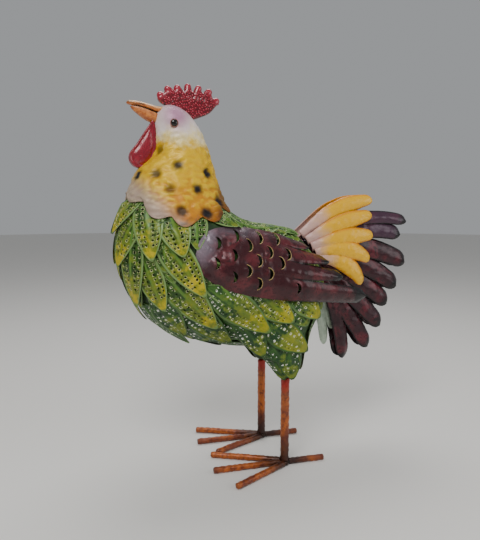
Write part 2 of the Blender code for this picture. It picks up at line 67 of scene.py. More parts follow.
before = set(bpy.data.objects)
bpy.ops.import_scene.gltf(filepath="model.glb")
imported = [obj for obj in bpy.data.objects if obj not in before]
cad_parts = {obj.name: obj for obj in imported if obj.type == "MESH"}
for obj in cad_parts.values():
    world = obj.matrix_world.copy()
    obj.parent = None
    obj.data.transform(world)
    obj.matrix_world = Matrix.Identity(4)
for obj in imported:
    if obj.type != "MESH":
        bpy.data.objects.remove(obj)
CAD_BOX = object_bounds()

SIDES = ((-1, "left"), (1, "right"))

# The figure is drawn in millimetres, its ground at DRAWN_GROUND and its comb at DRAWN_TOP
DRAWN_TOP = 468.5
DRAWN_GROUND = -3.7
UNIT = (CAD_BOX[1].z - CAD_BOX[0].z) / (DRAWN_TOP - DRAWN_GROUND)
LEG_BOX = {word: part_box(word + "_leg") for side, word in SIDES}
GROUND_SHIFT = (LEG_BOX["left"][0].x + LEG_BOX["left"][1].x) / 2
STANCE_HALF = (LEG_BOX["right"][0].y + LEG_BOX["right"][1].y) / 2 / UNIT

# Body: upper and lower outline point (x, z) and half width, from the rear rim to the breast
BODY_SECTIONS = [
    (19, 293, 67, 232, 27), (2, 295.5, 56, 206, 41), (-22, 298.5, 34, 180, 53),
    (-44, 303, 6, 160, 61), (-63, 315, -25, 151.5, 65), (-82, 332, -60, 151, 66.5),
    (-104, 348, -92, 157, 66), (-128, 355, -120, 167, 63), (-150, 353, -143, 177, 57),
    (-168, 346, -160, 188, 50), (-180, 334, -173, 203, 42), (-188, 320, -184, 224, 33),
    (-193.5, 301, -192, 245, 21), (-196.5, 284, -196.5, 263, 9),
]
BODY_NOSE = (-197, 273.5)

# Thigh: height, front edge, rear edge, distance outside the leg centre, half width
THIGH_SECTIONS = [
    (111, -6, 9, 0, 7.5), (117, -11.5, 14.5, 0, 10), (129, -20, 18.5, 0, 14.5),
    (140, -31, 21.5, -0.5, 19), (152, -44, 25.5, -2.5, 23), (170, -62, 32, -6, 27),
    (200, -74, 49, -9, 30), (228, -66, 46, -17, 25),
]

# Neck and head: front and rear outline point (x, z) and half width, from the crown down
HOOD_CROWN = (-131, 441.5)
HOOD_SECTIONS = [
    (-140, 440, -121, 438.5, 8), (-147.5, 434, -112.5, 433, 16), (-151, 424, -105, 425, 21.5),
    (-151, 407, -96.5, 413, 25), (-152, 390, -89, 397, 28), (-159, 378, -83.5, 380, 32),
    (-174, 363.5, -78.5, 363, 38), (-180.5, 349, -73, 345, 44.5), (-185, 339, -67.5, 329, 50),
]
HOOD_AXIS_X = -125
HOOD_RIM_FRONT = 333
HOOD_RIM_SIDE = 304
HOOD_RIM_REAR = 321
HOOD_SCALLOPS = 10
HOOD_SCALLOP_DEPTH = 9
HOOD_FLARE = 2.8
# Dark sprayed dimples of the neck: x, z on the side, radius, strength
NECK_SPOTS = [
    (-148.6, 387.3, 6, 0.7), (-130.6, 369.9, 6.5, 0.95), (-155.5, 360.2, 6.5, 0.85),
    (-94.5, 361.5, 7, 1.0), (-109.9, 342.5, 6.5, 1.0), (-142.1, 342.2, 6.5, 0.7),
    (-173.8, 358.8, 6.5, 1.0), (-130.9, 318.0, 7, 0.9), (-101.8, 315.6, 8, 1.0),
    (-81.9, 328.7, 7, 1.0),
]
EYE_PLACE = (-130.5, 418.5)

UPPER_BEAK = [
    (-140, 438.5, -140, 428, 10), (-149, 438.8, -149, 431.5, 9), (-160, 441.5, -160, 435.6, 7),
    (-171, 443.6, -171, 438, 5.4), (-179, 443.8, -179, 438.8, 4), (-182, 442.8, -182, 440, 2.2),
]
UPPER_BEAK_TIP = (-182.9, 441.4)
LOWER_BEAK = [
    (-141, 427.4, -142, 417.5, 9), (-149.3, 430.9, -151, 418.6, 8), (-160, 435, -161.5, 422.6, 6.4),
    (-170.5, 437.4, -171.5, 429.6, 4.6), (-176, 438, -176.5, 434, 2.8),
]
LOWER_BEAK_TIP = (-178.5, 437)
NOSTRILS = [(-165, 439.2, 4.2), (-155, 436.0, 3.0)]

# Comb: blunt points, the place each one grows from, and the lower edge
COMB_POINTS = [(-147, 454), (-137.5, 462), (-125, 464.5), (-111, 467), (-96.5, 465.5),
               (-82.5, 461.5), (-72.5, 450.5)]
COMB_NOTCHES = [(-142.5, 454.5), (-131, 457.5), (-118.5, 458.5), (-103.5, 458.5),
                (-88.5, 455), (-79.5, 450.5)]
COMB_UNDER = [(-76, 443), (-85, 433.5), (-97, 428), (-106, 426), (-117, 433),
              (-131, 438.5), (-142, 442)]
COMB_MIDDLE = (-109, 440)

WATTLE_OUTLINE = [
    (-152.5, 423), (-156, 419), (-163, 409), (-172, 395.5), (-180, 385), (-181, 376.5),
    (-176, 369.5), (-168, 367.5), (-160, 371.5), (-153.5, 381), (-149.5, 394), (-149.5, 410),
]
WATTLE_MIDDLE = (-166.5, 382)

# Tail feathers: root, bend and tip, each x, distance from the middle plane, z
TAIL_FEATHERS = [
    ((42, 4, 280), (118, 6, 320), (194, 5, 303)), ((45, 4, 275), (118, 6, 303), (184, 5, 285)),
    ((48, 4, 269), (122, 7, 281), (194, 5, 246)), ((52, 4, 263), (118, 7, 261), (181, 5, 213)),
    ((55, 4, 256), (113, 7, 239), (167, 5, 189)), ((58, 4, 250), (106, 7, 214), (157, 5, 159)),
    ((60, 4, 244), (99, 6, 194), (139, 5, 130)), ((62, 4, 238), (94, 5, 198), (100, 5, 117)),
]
TAIL_HALVES = [9, 11.5, 13.8, 13.8, 13.5, 13, 12.5, 11.5]
YELLOW_FEATHERS = [
    ((34, 9, 286), (84, 9, 328), (137, 9, 332)), ((40, 13, 279), (88, 17, 306), (134, 14, 312)),
    ((46, 15, 271), (92, 23, 287), (134, 18, 285)), ((51, 17, 263), (98, 27, 276), (127, 22, 252)),
    ((55, 18, 256), (99, 29, 256), (114, 26, 221)),
]
UNDERTAIL_FEATHERS = [
    ((58, 0, 236), (92, 0, 222), (99, 0, 182)), ((54, 0, 230), (80, 0, 212), (85, 0, 158)),
    ((52, 0, 225), (70, 0, 204), (74, 0, 137)),
]

# Wing: upper and lower outline points (x, z) from the front to the roots of the rear fingers
WING_ROWS = [
    (-117, 275, -117.5, 262), (-113, 286, -112.5, 250), (-104, 294.5, -103, 240.5),
    (-89, 299, -87, 231), (-66, 299.5, -63, 223), (-40, 296, -34, 217), (-12, 290, -8, 213),
    (6, 283.5, 16, 210.5),
]
WING_SHARES = [0.0, 0.147, 0.378, 0.643, 1.0]
WING_TIPS = [(26, 274), (49, 257), (67, 238), (109, 208.5)]
WING_TAPERS = [0.45, 0.5, 0.4, 0.24]
WING_TOP_SIDE = 43
WING_LOW_SIDE = 70
WING_DOME = 16
WING_REAR_DRAW = 26
WING_FRONT_DRAW = 12
# Middles of the punched crescents, x and z
CRESCENTS = [
    (-90.6, 282.3), (-93.7, 260.2), (-66.4, 289.3), (-72.7, 268.8), (-74.5, 244.5),
    (-52.5, 279.0), (-57.8, 250.8), (-37.2, 286.9), (-43.8, 261.7), (-45.1, 235.6),
    (-28.6, 270.6), (-31.6, 246.4), (-15.0, 284.7), (-15.9, 258.3), (-5.5, 267.5),
    (3.0, 228.0),
]

# Leaf feathers seen from the side: root (x, z), tip (x, z), width, share of yellow
SIDE_LEAVES = [
    (-173, 328, -195, 290, 28, 0.75), (-163, 321, -162, 263, 33, 0.6),
    (-142, 311, -130, 267, 33, 0.6), (-178, 302, -192, 255, 27, 0.75),
    (-178, 283, -172, 212, 30, 0.6), (-168, 258, -147, 208, 29, 0.65),
    (-147, 282, -106, 224, 32, 0.68), (-142, 242, -89, 186, 36, 0.6),
    (-153, 212, -120, 178, 32, 0.45), (-124, 210, -68, 166, 34, 0.4),
    (-89, 221, -29, 177, 36, 0.65), (-38, 218, -2, 187, 34, 0.78),
    (4, 213, 34, 190, 30, 0.65), (-61, 186, -31, 149, 32, 0.45),
    (-25, 182, 16, 149, 34, 0.78), (-6, 152, 3, 116, 26, 0.45),
    (-52, 301, -4, 290, 28, 0.2),
]
# Second layer that fills between them, same columns
UNDER_LEAVES = [
    (-116, 322, -116, 274, 28, 0.2), (-104, 321, -64, 297, 26, 0.2),
    (-14, 286, 23, 280, 26, 0.25), (-6, 272, 35, 262, 28, 0.25), (4, 256, 47, 244, 28, 0.25),
    (10, 240, 57, 226, 28, 0.25),
    (-158, 296, -140, 238, 32, 0.2),
    (-189, 272, -170, 208, 30, 0.3), (-164, 240, -136, 190, 32, 0.2),
    (-112, 262, -66, 208, 38, 0.2), (-66, 226, -18, 182, 38, 0.3),
    (-20, 226, 20, 180, 38, 0.2), (14, 232, 46, 196, 34, 0.3),
    (-52, 204, -10, 160, 38, 0.2), (-18, 178, 8, 132, 32, 0.2), (-36, 174, -10, 138, 30, 0.2),
    (-172, 212, -140, 180, 34, 0.2), (-136, 202, -92, 164, 36, 0.2),
    (-100, 206, -46, 162, 38, 0.2), (-6, 196, 30, 158, 32, 0.2), (-184, 318, -196, 270, 30, 0.4),
    (-104, 340, -62, 318, 30, 0.1), (-74, 322, -28, 303, 30, 0.1), (-20, 304, 24, 284, 26, 0.1),
    (-84, 186, -44, 156, 32, 0.2), (-150, 300, -150, 250, 30, 0.2),
    (-36, 166, -3, 113, 30, 0.2), (2, 160, 3, 113, 26, 0.2), (-104, 334, -74, 303, 36, 0.1),
]
# Leaves of the back and the belly, seen from above and from below: root (x, y), tip (x, y)
BACK_LEAVES = [
    (-84, 0, -34, 0, 32, 0.3), (-80, 22, -36, 27, 30, 0.3), (-44, 11, 2, 8, 30, 0.3),
    (-40, 34, 6, 24, 28, 0.35),
]
BELLY_LEAVES = [
    (-152, 14, -108, 16, 30, 0.3), (-120, 0, -70, 0, 32, 0.3), (-118, 32, -70, 30, 32, 0.3),
    (-78, 16, -26, 12, 32, 0.4), (-34, 0, 24, 0, 30, 0.4),
]
# One bent-out leaf under the left breast, as BELLY_LEAVES but on one side only
LOOSE_LEAF = (-166, -20, -114, -22, 24, 0.0)
LOOSE_LEAF_STAND = 11
# Leaves of the breast, seen from the front: root (y, z), tip (y, z)
BREAST_LEAVES = [(0, 332, 0, 288, 26, 0.8), (0, 290, 0, 238, 28, 0.7), (0, 240, 0, 190, 28, 0.5)]
# Leaves of the thighs' backs, seen from behind: distance outside the leg centre, z
THIGH_LEAVES = [(-2, 205, 2, 150, 28, 0.4), (0, 158, 0, 121, 22, 0.4)]

LEAF_COLUMNS = [-1.0, -0.85, -0.49, -0.13, 0.13, 0.49, 0.85, 1.0]
HOLE_STEP = 4.9
HOLE_ROOM = 3.3
# The open rear of the body: a point of the rim's plane, the way it faces and its way up
REAR_MIDDLE = (43, 0, 262.5)
REAR_FACING = Vector((0.786, 0, 0.618))
REAR_UP = Vector((-0.618, 0, 0.786))
PLATE_POINTS = 72
# Shares of a leaf's half width between which it is punched
RIB_SHARE, RIM_SHARE = 0.13, 0.85
# Pale root of each yellow finger, as a share of its length
FINGER_ROOTS = (0.32, 0.24, 0.2, 0.11, 0.2)
# Softboxes: name, place, size and share of the key light's power
SOFTBOXES = (("key_softbox", (-0.55, -0.9, 1.35), 0.8, 1.0),
             ("fill_softbox", (1.1, -0.9, 0.7), 0.9, 0.3),
             ("top_softbox", (0.1, 0.5, 1.5), 0.9, 0.6))
CAMERA_PLACE = (-0.2490, -0.6350, 0.3273)
CAMERA_AIM = (0.309, 0.951, 0.0)
CAMERA_TILT = 6.9

PAINTS = {}
MATH, MAP, NOISE = "ShaderNodeMath", "ShaderNodeMapRange", "ShaderNodeTexNoise"
SOFT = {"interpolation_type": "SMOOTHSTEP"}
LENGTH = {"subtype": "DISTANCE", "unit": "LENGTH"}
COLOUR = {"size": 4, "min": 0.0, "max": 1.0, "subtype": "COLOR"}


def linear(code):
    """An sRGB hex colour as linear red, green, blue and alpha."""
    parts = [int(code[i:i + 2], 16) / 255 for i in (1, 3, 5)]
    return [c / 12.92 if c <= 0.04045 else ((c + 0.055) / 1.055) ** 2.4 for c in parts] + [1.0]


def place(x, y, z):
    """A drawn point as a place in metres."""
    return Vector((x * UNIT + GROUND_SHIFT, y * UNIT, (z - DRAWN_GROUND) * UNIT))


def drawn(p):
    """The drawn x and z of a place in metres."""
    return (p.x - GROUND_SHIFT) / UNIT, p.z / UNIT + DRAWN_GROUND


def ease(low, high, value):
    """Smooth step from 0 at low to 1 at high."""
    t = min(1.0, max(0.0, (value - low) / (high - low)))
    return t * t * (3 - 2 * t)


def read_rows(rows, positions):
    """Rows of numbers read smoothly at fractional places between them."""
    table = np.array(rows, float)
    found = []
    for position in positions:
        i = min(int(position), len(table) - 2)
        t = position - i
        a, b, c, d = table[[max(i - 1, 0), i, i + 1, min(i + 2, len(table) - 1)]]
        found.append(0.5 * (2 * b + (c - a) * t + (2 * a - 5 * b + 4 * c - d) * t * t
                            + (3 * b - a - 3 * c + d) * t ** 3))
    return found


def even(count, steps):
    """Places from the first to the last of count rows, in equal steps."""
    return np.linspace(0, count - 1, steps)


def circle(count):
    """Angles all round in equal steps."""
    return np.linspace(0, 2 * math.pi, count, endpoint=False)


def centre_of(row):
    """Middle of some points."""
    return sum(row, Vector()) / len(row)


def in_scene(name, data):
    """A new object at the origin of the scene."""
    item = bpy.data.objects.new(name, data)
    bpy.context.scene.collection.objects.link(item)
    return item


def mark(mesh, **attributes):
    """Store numbers on a mesh's points."""
    for key, values in attributes.items():
        mesh.attributes.new(key, "FLOAT", "POINT").data.foreach_set("value", values)


def new_piece(name, points, faces, material, edges=(), **attributes):
    """A smooth mesh object, with number attributes on its points."""
    mesh = bpy.data.meshes.new(name)
    mesh.from_pydata([tuple(p) for p in points], edges, faces)
    mark(mesh, **attributes)
    mesh.shade_smooth()
    mesh.materials.append(material)
    return in_scene(name, mesh)


@contextmanager
def editing(item):
    """Open an object's mesh for changes and write it back."""
    bm = bmesh.new()
    bm.from_mesh(item.data)
    yield bm
    bm.to_mesh(item.data)
    bm.free()


def face_outwards(item):
    """Turn a closed form's faces outwards."""
    with editing(item) as bm:
        bmesh.ops.recalc_face_normals(bm, faces=bm.faces)


def clean_sheet(item, facing, near, thin):
    """Merge a sheet's doubled points and turn its face towards a direction."""
    with editing(item) as bm:
        bmesh.ops.remove_doubles(bm, verts=bm.verts, dist=near * UNIT)
        bmesh.ops.dissolve_degenerate(bm, edges=bm.edges, dist=thin * UNIT)
        bm.normal_update()
        if sum(f.normal.dot(facing) * f.calc_area() for f in bm.faces) < 0:
            bmesh.ops.reverse_faces(bm, faces=bm.faces)


def lattice(name, rows, material, closed=False, ends=(), **attributes):
    """A skin over rows of points; closed joins each row, and ends caps the first and last."""
    wide = len(rows[0])
    points = [p for row in rows for p in row]
    faces = []
    for i in range(len(rows) - 1):
        for k in range(wide if closed else wide - 1):
            a, b = i * wide + k, i * wide + (k + 1) % wide
            faces.append((a, b, b + wide, a + wide))
    for pole, first in zip(ends, (0, len(points) - wide)):
        points.append(pole)
        for values in attributes.values():
            values.append(values[first])
        faces += [(first + k, first + (k + 1) % wide, len(points) - 1) for k in range(wide)]
    item = new_piece(name, points, faces, material, **attributes)
    if ends:
        face_outwards(item)
    return item


def merged(name, items, material):
    """Several meshes as one object."""
    bm = bmesh.new()
    for item in items:
        bm.from_mesh(item.data)
        bpy.data.objects.remove(item)
    whole = new_piece(name, [], [], material)
    bm.to_mesh(whole.data)
    bm.free()
    whole.data.shade_smooth()
    return whole


def settle(item):
    """Replace an object's mesh by its modified form and drop the modifiers."""
    bpy.context.view_layer.update()
    graph = bpy.context.evaluated_depsgraph_get()
    fresh = bpy.data.meshes.new_from_object(item.evaluated_get(graph), depsgraph=graph)
    item.modifiers.clear()
    item.data = fresh
    return item


def fused(item, voxel, rounds):
    """One skin around overlapping closed forms, softened where they meet."""
    fuse = item.modifiers.new("fuse", "REMESH")
    fuse.mode = "VOXEL"
    fuse.voxel_size = voxel * UNIT
    fuse.use_smooth_shade = True
    soften = item.modifiers.new("soften", "SMOOTH")
    soften.factor = 0.5
    soften.iterations = rounds
    return settle(item)


def walled(item, thickness, offset=0.0, inside=0):
    """Give a sheet its thickness; inside is the step to the material of its hidden faces."""
    wall = item.modifiers.new("wall", "SOLIDIFY")
    wall.thickness = thickness
    wall.offset = offset
    wall.material_offset = wall.material_offset_rim = inside
    return settle(item)


def emboss(item, depth_at):
    """Move every point along its normal by a depth that depends on its place and normal."""
    normals = [v.normal.copy() for v in item.data.vertices]
    for vert, normal in zip(item.data.vertices, normals):
        vert.co += normal * depth_at(vert.co, normal)
    item.data.update()


def hammer_marks(point, size, depth, seed=0.0):
    """Height of softly hammered sheet: low round cells parted by shallow valleys."""
    near, second = noise.voronoi(point / (size * UNIT) + Vector((seed, seed, seed)))[0][:2]
    return depth * UNIT * ease(0.0, 0.6, second - near)


def surface_of(item):
    """Search tree of an object's mesh."""
    bpy.context.view_layer.update()
    return BVHTree.FromObject(item, bpy.context.evaluated_depsgraph_get())


def hand_over(item, slot, *nodes):
    """Ride on the figure and stand for the named solids; the named finish is not used."""
    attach(item, "root")
    if nodes:
        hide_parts(*nodes)


def add(tree, kind, inputs=(), **settings):
    """Add a node and give its outputs; inputs are named or in order, and sockets are linked."""
    node = tree.nodes.new(kind)
    for key, value in settings.items():
        setattr(node, key, value)
    for key, value in inputs.items() if isinstance(inputs, dict) else enumerate(inputs):
        if isinstance(value, bpy.types.NodeSocket):
            tree.links.new(value, node.inputs[key])
        else:
            node.inputs[key].default_value = value
    return node.outputs


def add_each(tree, kind, rows, **settings):
    """Add a node for each row of inputs, all with the same settings, and give their results."""
    return [add(tree, kind, row, **settings)[0] for row in rows]


def tint(name):
    """A colour that the user has chosen."""
    return list(getattr(bpy.context.scene.rooster_colours, name))


def begin(key, name, grain, roughness, spread, depth):
    """Start a material: its tree, a point's place in metres, the mottle of hand-laid paint with
    its grain in millimetres, and the uneven gloss and faint relief that follow the mottle."""
    material = PAINTS[key] = bpy.data.materials.new(name)
    material.use_nodes = True
    tree = material.node_tree
    tree.nodes.clear()
    spot = add(tree, "ShaderNodeTexCoord")["Object"]
    mottle = add(tree, NOISE, {"Vector": spot, "Scale": 1 / (grain * UNIT), "Detail": 4.0,
                               "Roughness": 0.6})[0]
    gloss = add(tree, MAP, (mottle, 0.3, 0.7, roughness - spread, roughness + spread))[0]
    relief = add(tree, "ShaderNodeBump", {"Height": mottle, "Strength": 0.6,
                                          "Distance": depth * UNIT})[0]
    return tree, spot, mottle, {"Roughness": gloss, "Normal": relief}


def coats(tree, under, layers):
    """Paint sprayed in turn over a colour: each layer is a mask and a hex colour or a socket."""
    for mask, over in layers:
        under, over = [linear(c) if isinstance(c, str) else c for c in (under, over)]
        under = add(tree, "ShaderNodeMix", {0: mask, 6: under, 7: over}, data_type="RGBA")[2]
    return under


def seal(tree, finish, colour, metallic=0.1, specular=0.5, coat=0.0, coat_roughness=0.03):
    """Close a material with its shader."""
    shader = add(tree, "ShaderNodeBsdfPrincipled", {
        **finish, "Base Color": colour, "Metallic": metallic, "Specular IOR Level": specular,
        "Coat Weight": coat, "Coat Roughness": coat_roughness})
    add(tree, "ShaderNodeOutputMaterial", {"Surface": shader[0]})


def leaf_paint():
    """Enamel brushed on punched sheet steel: green leaves with lighter edges and yellow ends; the
    lighter edge and rib are partly a painted highlight, and pale flecks at some hole rims are a
    painted highlight.
    """
    tree, spot, cloud, finish = begin("leaf", "brushed_leaf_enamel", 9.0, 0.42, 0.12, 0.35)
    across, along, yellow, punched, pale = [
        add(tree, "ShaderNodeAttribute", attribute_name=name)["Fac"]
        for name in ("across", "along", "yellow", "punched", "pale")]
    fine, group = add_each(tree, NOISE, (
        {"Vector": spot, "Scale": 1 / (2.2 * UNIT), "Detail": 2.0},
        {"Vector": spot, "Scale": 1 / (4.5 * UNIT), "Detail": 1.0}))
    off = add(tree, MATH, [across], operation="ABSOLUTE")[0]
    patch, outline, point, rib, edge = add_each(tree, MAP, (
        (cloud, 0.38, 0.62), (off, 0.80, 0.88), (along, 0.92, 0.97), (off, 0.11, 0.05),
        (off, 0.965, 1.0)), **SOFT)
    rim = add(tree, MATH, (outline, point), operation="MAXIMUM")[0]
    reach = add(tree, MATH, (along, yellow), operation="ADD")[0]
    # These masks pick out the rims of some punched holes: pale yellow flecks there are a painted
    # highlight, and white flecks lie on the belly leaves.
    ragged, strong, hole_rim_reach, sparse, upper_light_share = add_each(tree, MATH, (
        (cloud, 1.7, reach), (pale, -0.65, 0.85), (pale, 0.14, punched), (pale, -0.05, group),
        (pale, -0.85, 0.95)), operation="MULTIPLY_ADD")
    ends, bright, ring = add_each(tree, MAP, (
        (ragged, 1.8, 2.1, 0.0, 0.8), (ragged, 2.12, 2.5, 0.0, strong), (hole_rim_reach, 0.6, 0.85)),
        **SOFT)
    speckle, fleck_groups = add_each(tree, MAP, ((fine, 0.5, 0.62, 0.0, 0.45), (sparse, 0.46, 0.52)))
    inside, bare = add_each(tree, MATH, ((1.0, rim), (1.0, ends)), operation="SUBTRACT")
    # The raised edge and the rib are painted paler, partly their own paint and partly a painted
    # highlight, strong on the upper leaves and faint on the belly ones.
    rim_flecks, free, dusted, core, rim_paint_and_highlight, rib_paint_and_highlight = add_each(tree, MATH, (
        (ring, fleck_groups), (pale, bare), (ends, inside), (bright, inside), (rim, upper_light_share),
        (rib, upper_light_share)), operation="MULTIPLY")
    lit, white = add_each(tree, MATH, ((rim_flecks, 0.8), (rim_flecks, free)), operation="MULTIPLY")
    fresh = coats(tree, "#28470F", [(patch, tint("leaf_green")), (speckle, "#233D0C")])
    belly = coats(tree, "#1A3F1A", [(patch, tint("belly_green"))])
    seal(tree, finish, coats(tree, fresh, [
        (pale, belly), (rib_paint_and_highlight, "#5C8430"), (rim_paint_and_highlight, tint("leaf_rim")),
        (dusted, "#74821E"), (core, tint("leaf_yellow")), (lit, "#D0D598"),
        (white, "#FFFFFA"), (edge, "#1A260C")]), 0.1, 0.35, 0.1, 0.25)


def shell_paint():
    """Dark green enamel of the body sheet, seen between the leaves."""
    tree, spot, cloud, finish = begin("shell", "brushed_body_enamel", 12.0, 0.5, 0.1, 0.4)
    patch = add(tree, MAP, (cloud, 0.4, 0.6), **SOFT)[0]
    seal(tree, finish, coats(tree, "#16300F", [(patch, "#2A4C18")]))


def dark_sheet():
    """Soot-dark inside of the hollow figure and its cut sheet edges."""
    tree, spot, cloud, finish = begin("dark", "bare_inner_sheet", 6.0, 0.6, 0.1, 0.3)
    seal(tree, finish, coats(tree, "#12140E", [(cloud, "#2A2C20")]), 0.4)


def neck_paint():
    """Airbrushed enamel of the neck: pinkish face, yellow and orange neck, grey-beige throat, with
    orange painted shade in the quilting's hollows and dark brown painted shade along the rear edge.
    """
    tree, spot, cloud, finish = begin("neck", "airbrushed_neck_enamel", 14.0, 0.46, 0.08, 0.3)
    spots, hollow = [add(tree, "ShaderNodeAttribute", attribute_name=name)["Fac"]
                     for name in ("spot", "hollow")]
    x, y, z = add(tree, "ShaderNodeSeparateXYZ", [spot])
    ragged, front, nape = add_each(tree, MATH, (
        (cloud, 0.05, z), (z, 0.9, x), (z, -0.45, x)), operation="MULTIPLY_ADD")
    lift = 0.025 - DRAWN_GROUND * UNIT
    low_orange, low_yellow, yellow, cream, face = add_each(tree, MAP, [
        (ragged, low * UNIT + lift, high * UNIT + lift)
        for low, high in ((302, 318), (308, 334), (336, 366), (386, 402), (398, 418))], **SOFT)
    eye = place(EYE_PLACE[0], 0, EYE_PLACE[1]) + Vector((0.002, 0, 0.009))
    flat = add(tree, "ShaderNodeCombineXYZ", {0: x, 2: z})[0]
    apart = add(tree, "ShaderNodeVectorMath", (flat, eye), operation="DISTANCE")["Value"]
    # The hollows of the quilting are coloured orange as painted shade.
    blush, throat, rear_edge_shade, hollow_shade, streak = add_each(tree, MAP, (
        (apart, 0.027, 0.004, 0.0, 0.75), (front, 0.166, 0.132, 0.0, 0.85),
        (nape, -0.243, -0.222, 0.0, 0.75), (hollow, 0.4, 0.85, 0.0, 0.7),
        (cloud, 0.5, 0.64, 0.0, 0.7)), **SOFT)
    faint_hollow_shade = add(tree, MATH, (hollow_shade, 0.4), operation="MULTIPLY")[0]
    seal(tree, finish, coats(tree, "#7A5A3A", [
        (low_orange, "#C97804"), (low_yellow, tint("neck_yellow")),
        (streak, tint("neck_orange")), (hollow_shade, "#C07400"), (yellow, tint("neck_yellow")),
        # Pale orange over the hollows and dark brown along the rear edge are painted shade.
        (faint_hollow_shade, "#C88A00"), (throat, tint("throat")), (rear_edge_shade, "#451C06"), (cream, "#EBD694"),
        (face, tint("face")), (blush, tint("blush")), (spots, "#0E080C")]),
        0.1, 0.35, 0.05, 0.3)


def comb_paint():
    """Glossy crimson enamel over embossed steel: lighter on the raised bumps, points and grain as a
    painted highlight, darker in the hollows and along the root as painted shade.
    """
    tree, spot, cloud, finish = begin("comb", "glossy_crimson_enamel", 5.0, 0.24, 0.06, 0.15)
    patch = add(tree, MAP, (cloud, 0.35, 0.65), **SOFT)[0]
    raised = add(tree, "ShaderNodeAttribute", attribute_name="raised")["Fac"]
    seal(tree, finish, coats(tree, "#5C0614", [(patch, "#7A0A1C"), (raised, tint("comb"))]),
         coat=0.6, coat_roughness=0.12)


def beak_paint():
    """Orange enamel on the beak, tan along the ridge, dark in the nostril slits as painted shade
    and dark along the gape, partly wear and partly painted shade.
    """
    tree, spot, cloud, finish = begin("beak", "beak_orange_enamel", 5.0, 0.36, 0.08, 0.2)
    worn, ridge = [add(tree, "ShaderNodeAttribute", attribute_name=name)["Fac"]
                   for name in ("worn", "ridge")]
    patch = add(tree, MAP, (cloud, 0.4, 0.65), **SOFT)[0]
    seal(tree, finish, coats(tree, "#A85214", [
        (patch, tint("beak")), (ridge, "#E2AE70"), (worn, "#200C06")]), 0.0, 0.5, 0.4, 0.2)


def plain_paint(key, name, colour, dark, roughness, coat=0.3, metallic=0.1):
    """Enamel in one colour with a faint darker mottle."""
    tree, spot, cloud, finish = begin(key, name, 6.0, roughness, 0.06, 0.2)
    patch = add(tree, MAP, (cloud, 0.35, 0.7), **SOFT)[0]
    seal(tree, finish, coats(tree, colour, [(patch, dark)]), metallic, 0.5, coat, 0.2)


def plumage_paint(key, name, base, mottle, deep, tip, sheen, sheen_reach, tip_from):
    """Airbrushed enamel of wing and tail: mottled maroon, dark hollows, black edges and tips; the
    sheen is a painted highlight on the wing and the purple of the top tail feathers.
    """
    tree, spot, cloud, finish = begin(key, name, 8.0, 0.32, 0.1, 0.4)
    along, across, light = [add(tree, "ShaderNodeAttribute", attribute_name=word)["Fac"]
                            for word in ("along", "across", "light")]
    off = add(tree, MATH, [across], operation="ABSOLUTE")[0]
    broad = add(tree, NOISE, {"Vector": spot, "Scale": 1 / (16.0 * UNIT), "Detail": 3.0})[0]
    rag, far = add_each(tree, MATH, ((cloud, 0.25, off), (cloud, 0.2, along)),
                        operation="MULTIPLY_ADD")
    red, shade, edge, end = add_each(tree, MAP, (
        (broad, 0.45, 0.62), (cloud, 0.5, 0.68, 0.0, 0.8), (rag, 0.84, 1.06, 0.0, 0.92),
        (far, tip_from, tip_from + 0.1)), **SOFT)
    # On the wing the sheen is a painted highlight of the lilac-grey shoulder and top edge.
    bloom = add(tree, MATH, (light, sheen_reach), operation="MULTIPLY")[0]
    seal(tree, finish, coats(tree, base, [
        (red, mottle), (shade, deep), (bloom, sheen), (edge, tip), (end, tip)]),
        0.2, 0.35, 0.3, 0.25)


def finger_paint():
    """Yellow enamel fingers, pinkish white at the root and orange along the edges, the orange
    partly airbrushed paint and partly painted shade.
    """
    tree, spot, cloud, finish = begin("finger", "airbrushed_yellow_enamel",
                                      14.0, 0.34, 0.06, 0.2)
    along, across, reach = [add(tree, "ShaderNodeAttribute", attribute_name=word)["Fac"]
                            for word in ("along", "across", "light")]
    off = add(tree, MATH, [across], operation="ABSOLUTE")[0]
    far = add(tree, MATH, (cloud, 0.3, along), operation="MULTIPLY_ADD")[0]
    past = add(tree, MATH, (far, reach), operation="SUBTRACT")[0]
    # Orange along the edges: partly airbrushed paint, partly painted shade.
    orange, root = add_each(tree, MAP, ((off, 0.6, 1.0, 0.0, 0.7), (past, 0.3, -0.02, 0.0, 0.9)),
                            **SOFT)
    seal(tree, finish, coats(tree, tint("yellow_finger"), [
        (orange, "#D07400"), (root, "#D0A9A6")]), 0.0, 0.5, 0.1, 0.2)


def rod_paint():
    """Rust-orange stain on hammered bar: red at the top, darker near the foot and at the toe ends.
    """
    tree, spot, cloud, finish = begin("rod", "rust_stained_bar", 5.0, 0.42, 0.12, 0.5)
    # Darker near the foot and at the toe ends.
    soot = add(tree, "ShaderNodeAttribute", attribute_name="soot")["Fac"]
    height = add(tree, "ShaderNodeSeparateXYZ", [spot])[2]
    ragged = add(tree, MATH, (cloud, 0.012, height), operation="MULTIPLY_ADD")[0]
    broad = add(tree, NOISE, {"Vector": spot, "Scale": 1 / (45 * UNIT), "Detail": 1.0})[0]
    patch, red, wine = add_each(tree, MAP, (
        (cloud, 0.34, 0.58), (ragged, 0.099, 0.112), (broad, 0.46, 0.58, 0.0, 0.65)), **SOFT)
    seal(tree, finish, coats(tree, "#7A3414", [
        (patch, tint("rod")), (wine, "#5A2420"), (soot, "#170C0A"), (red, "#9A1C06")]),
        0.3, 0.5, 0.2, 0.3)


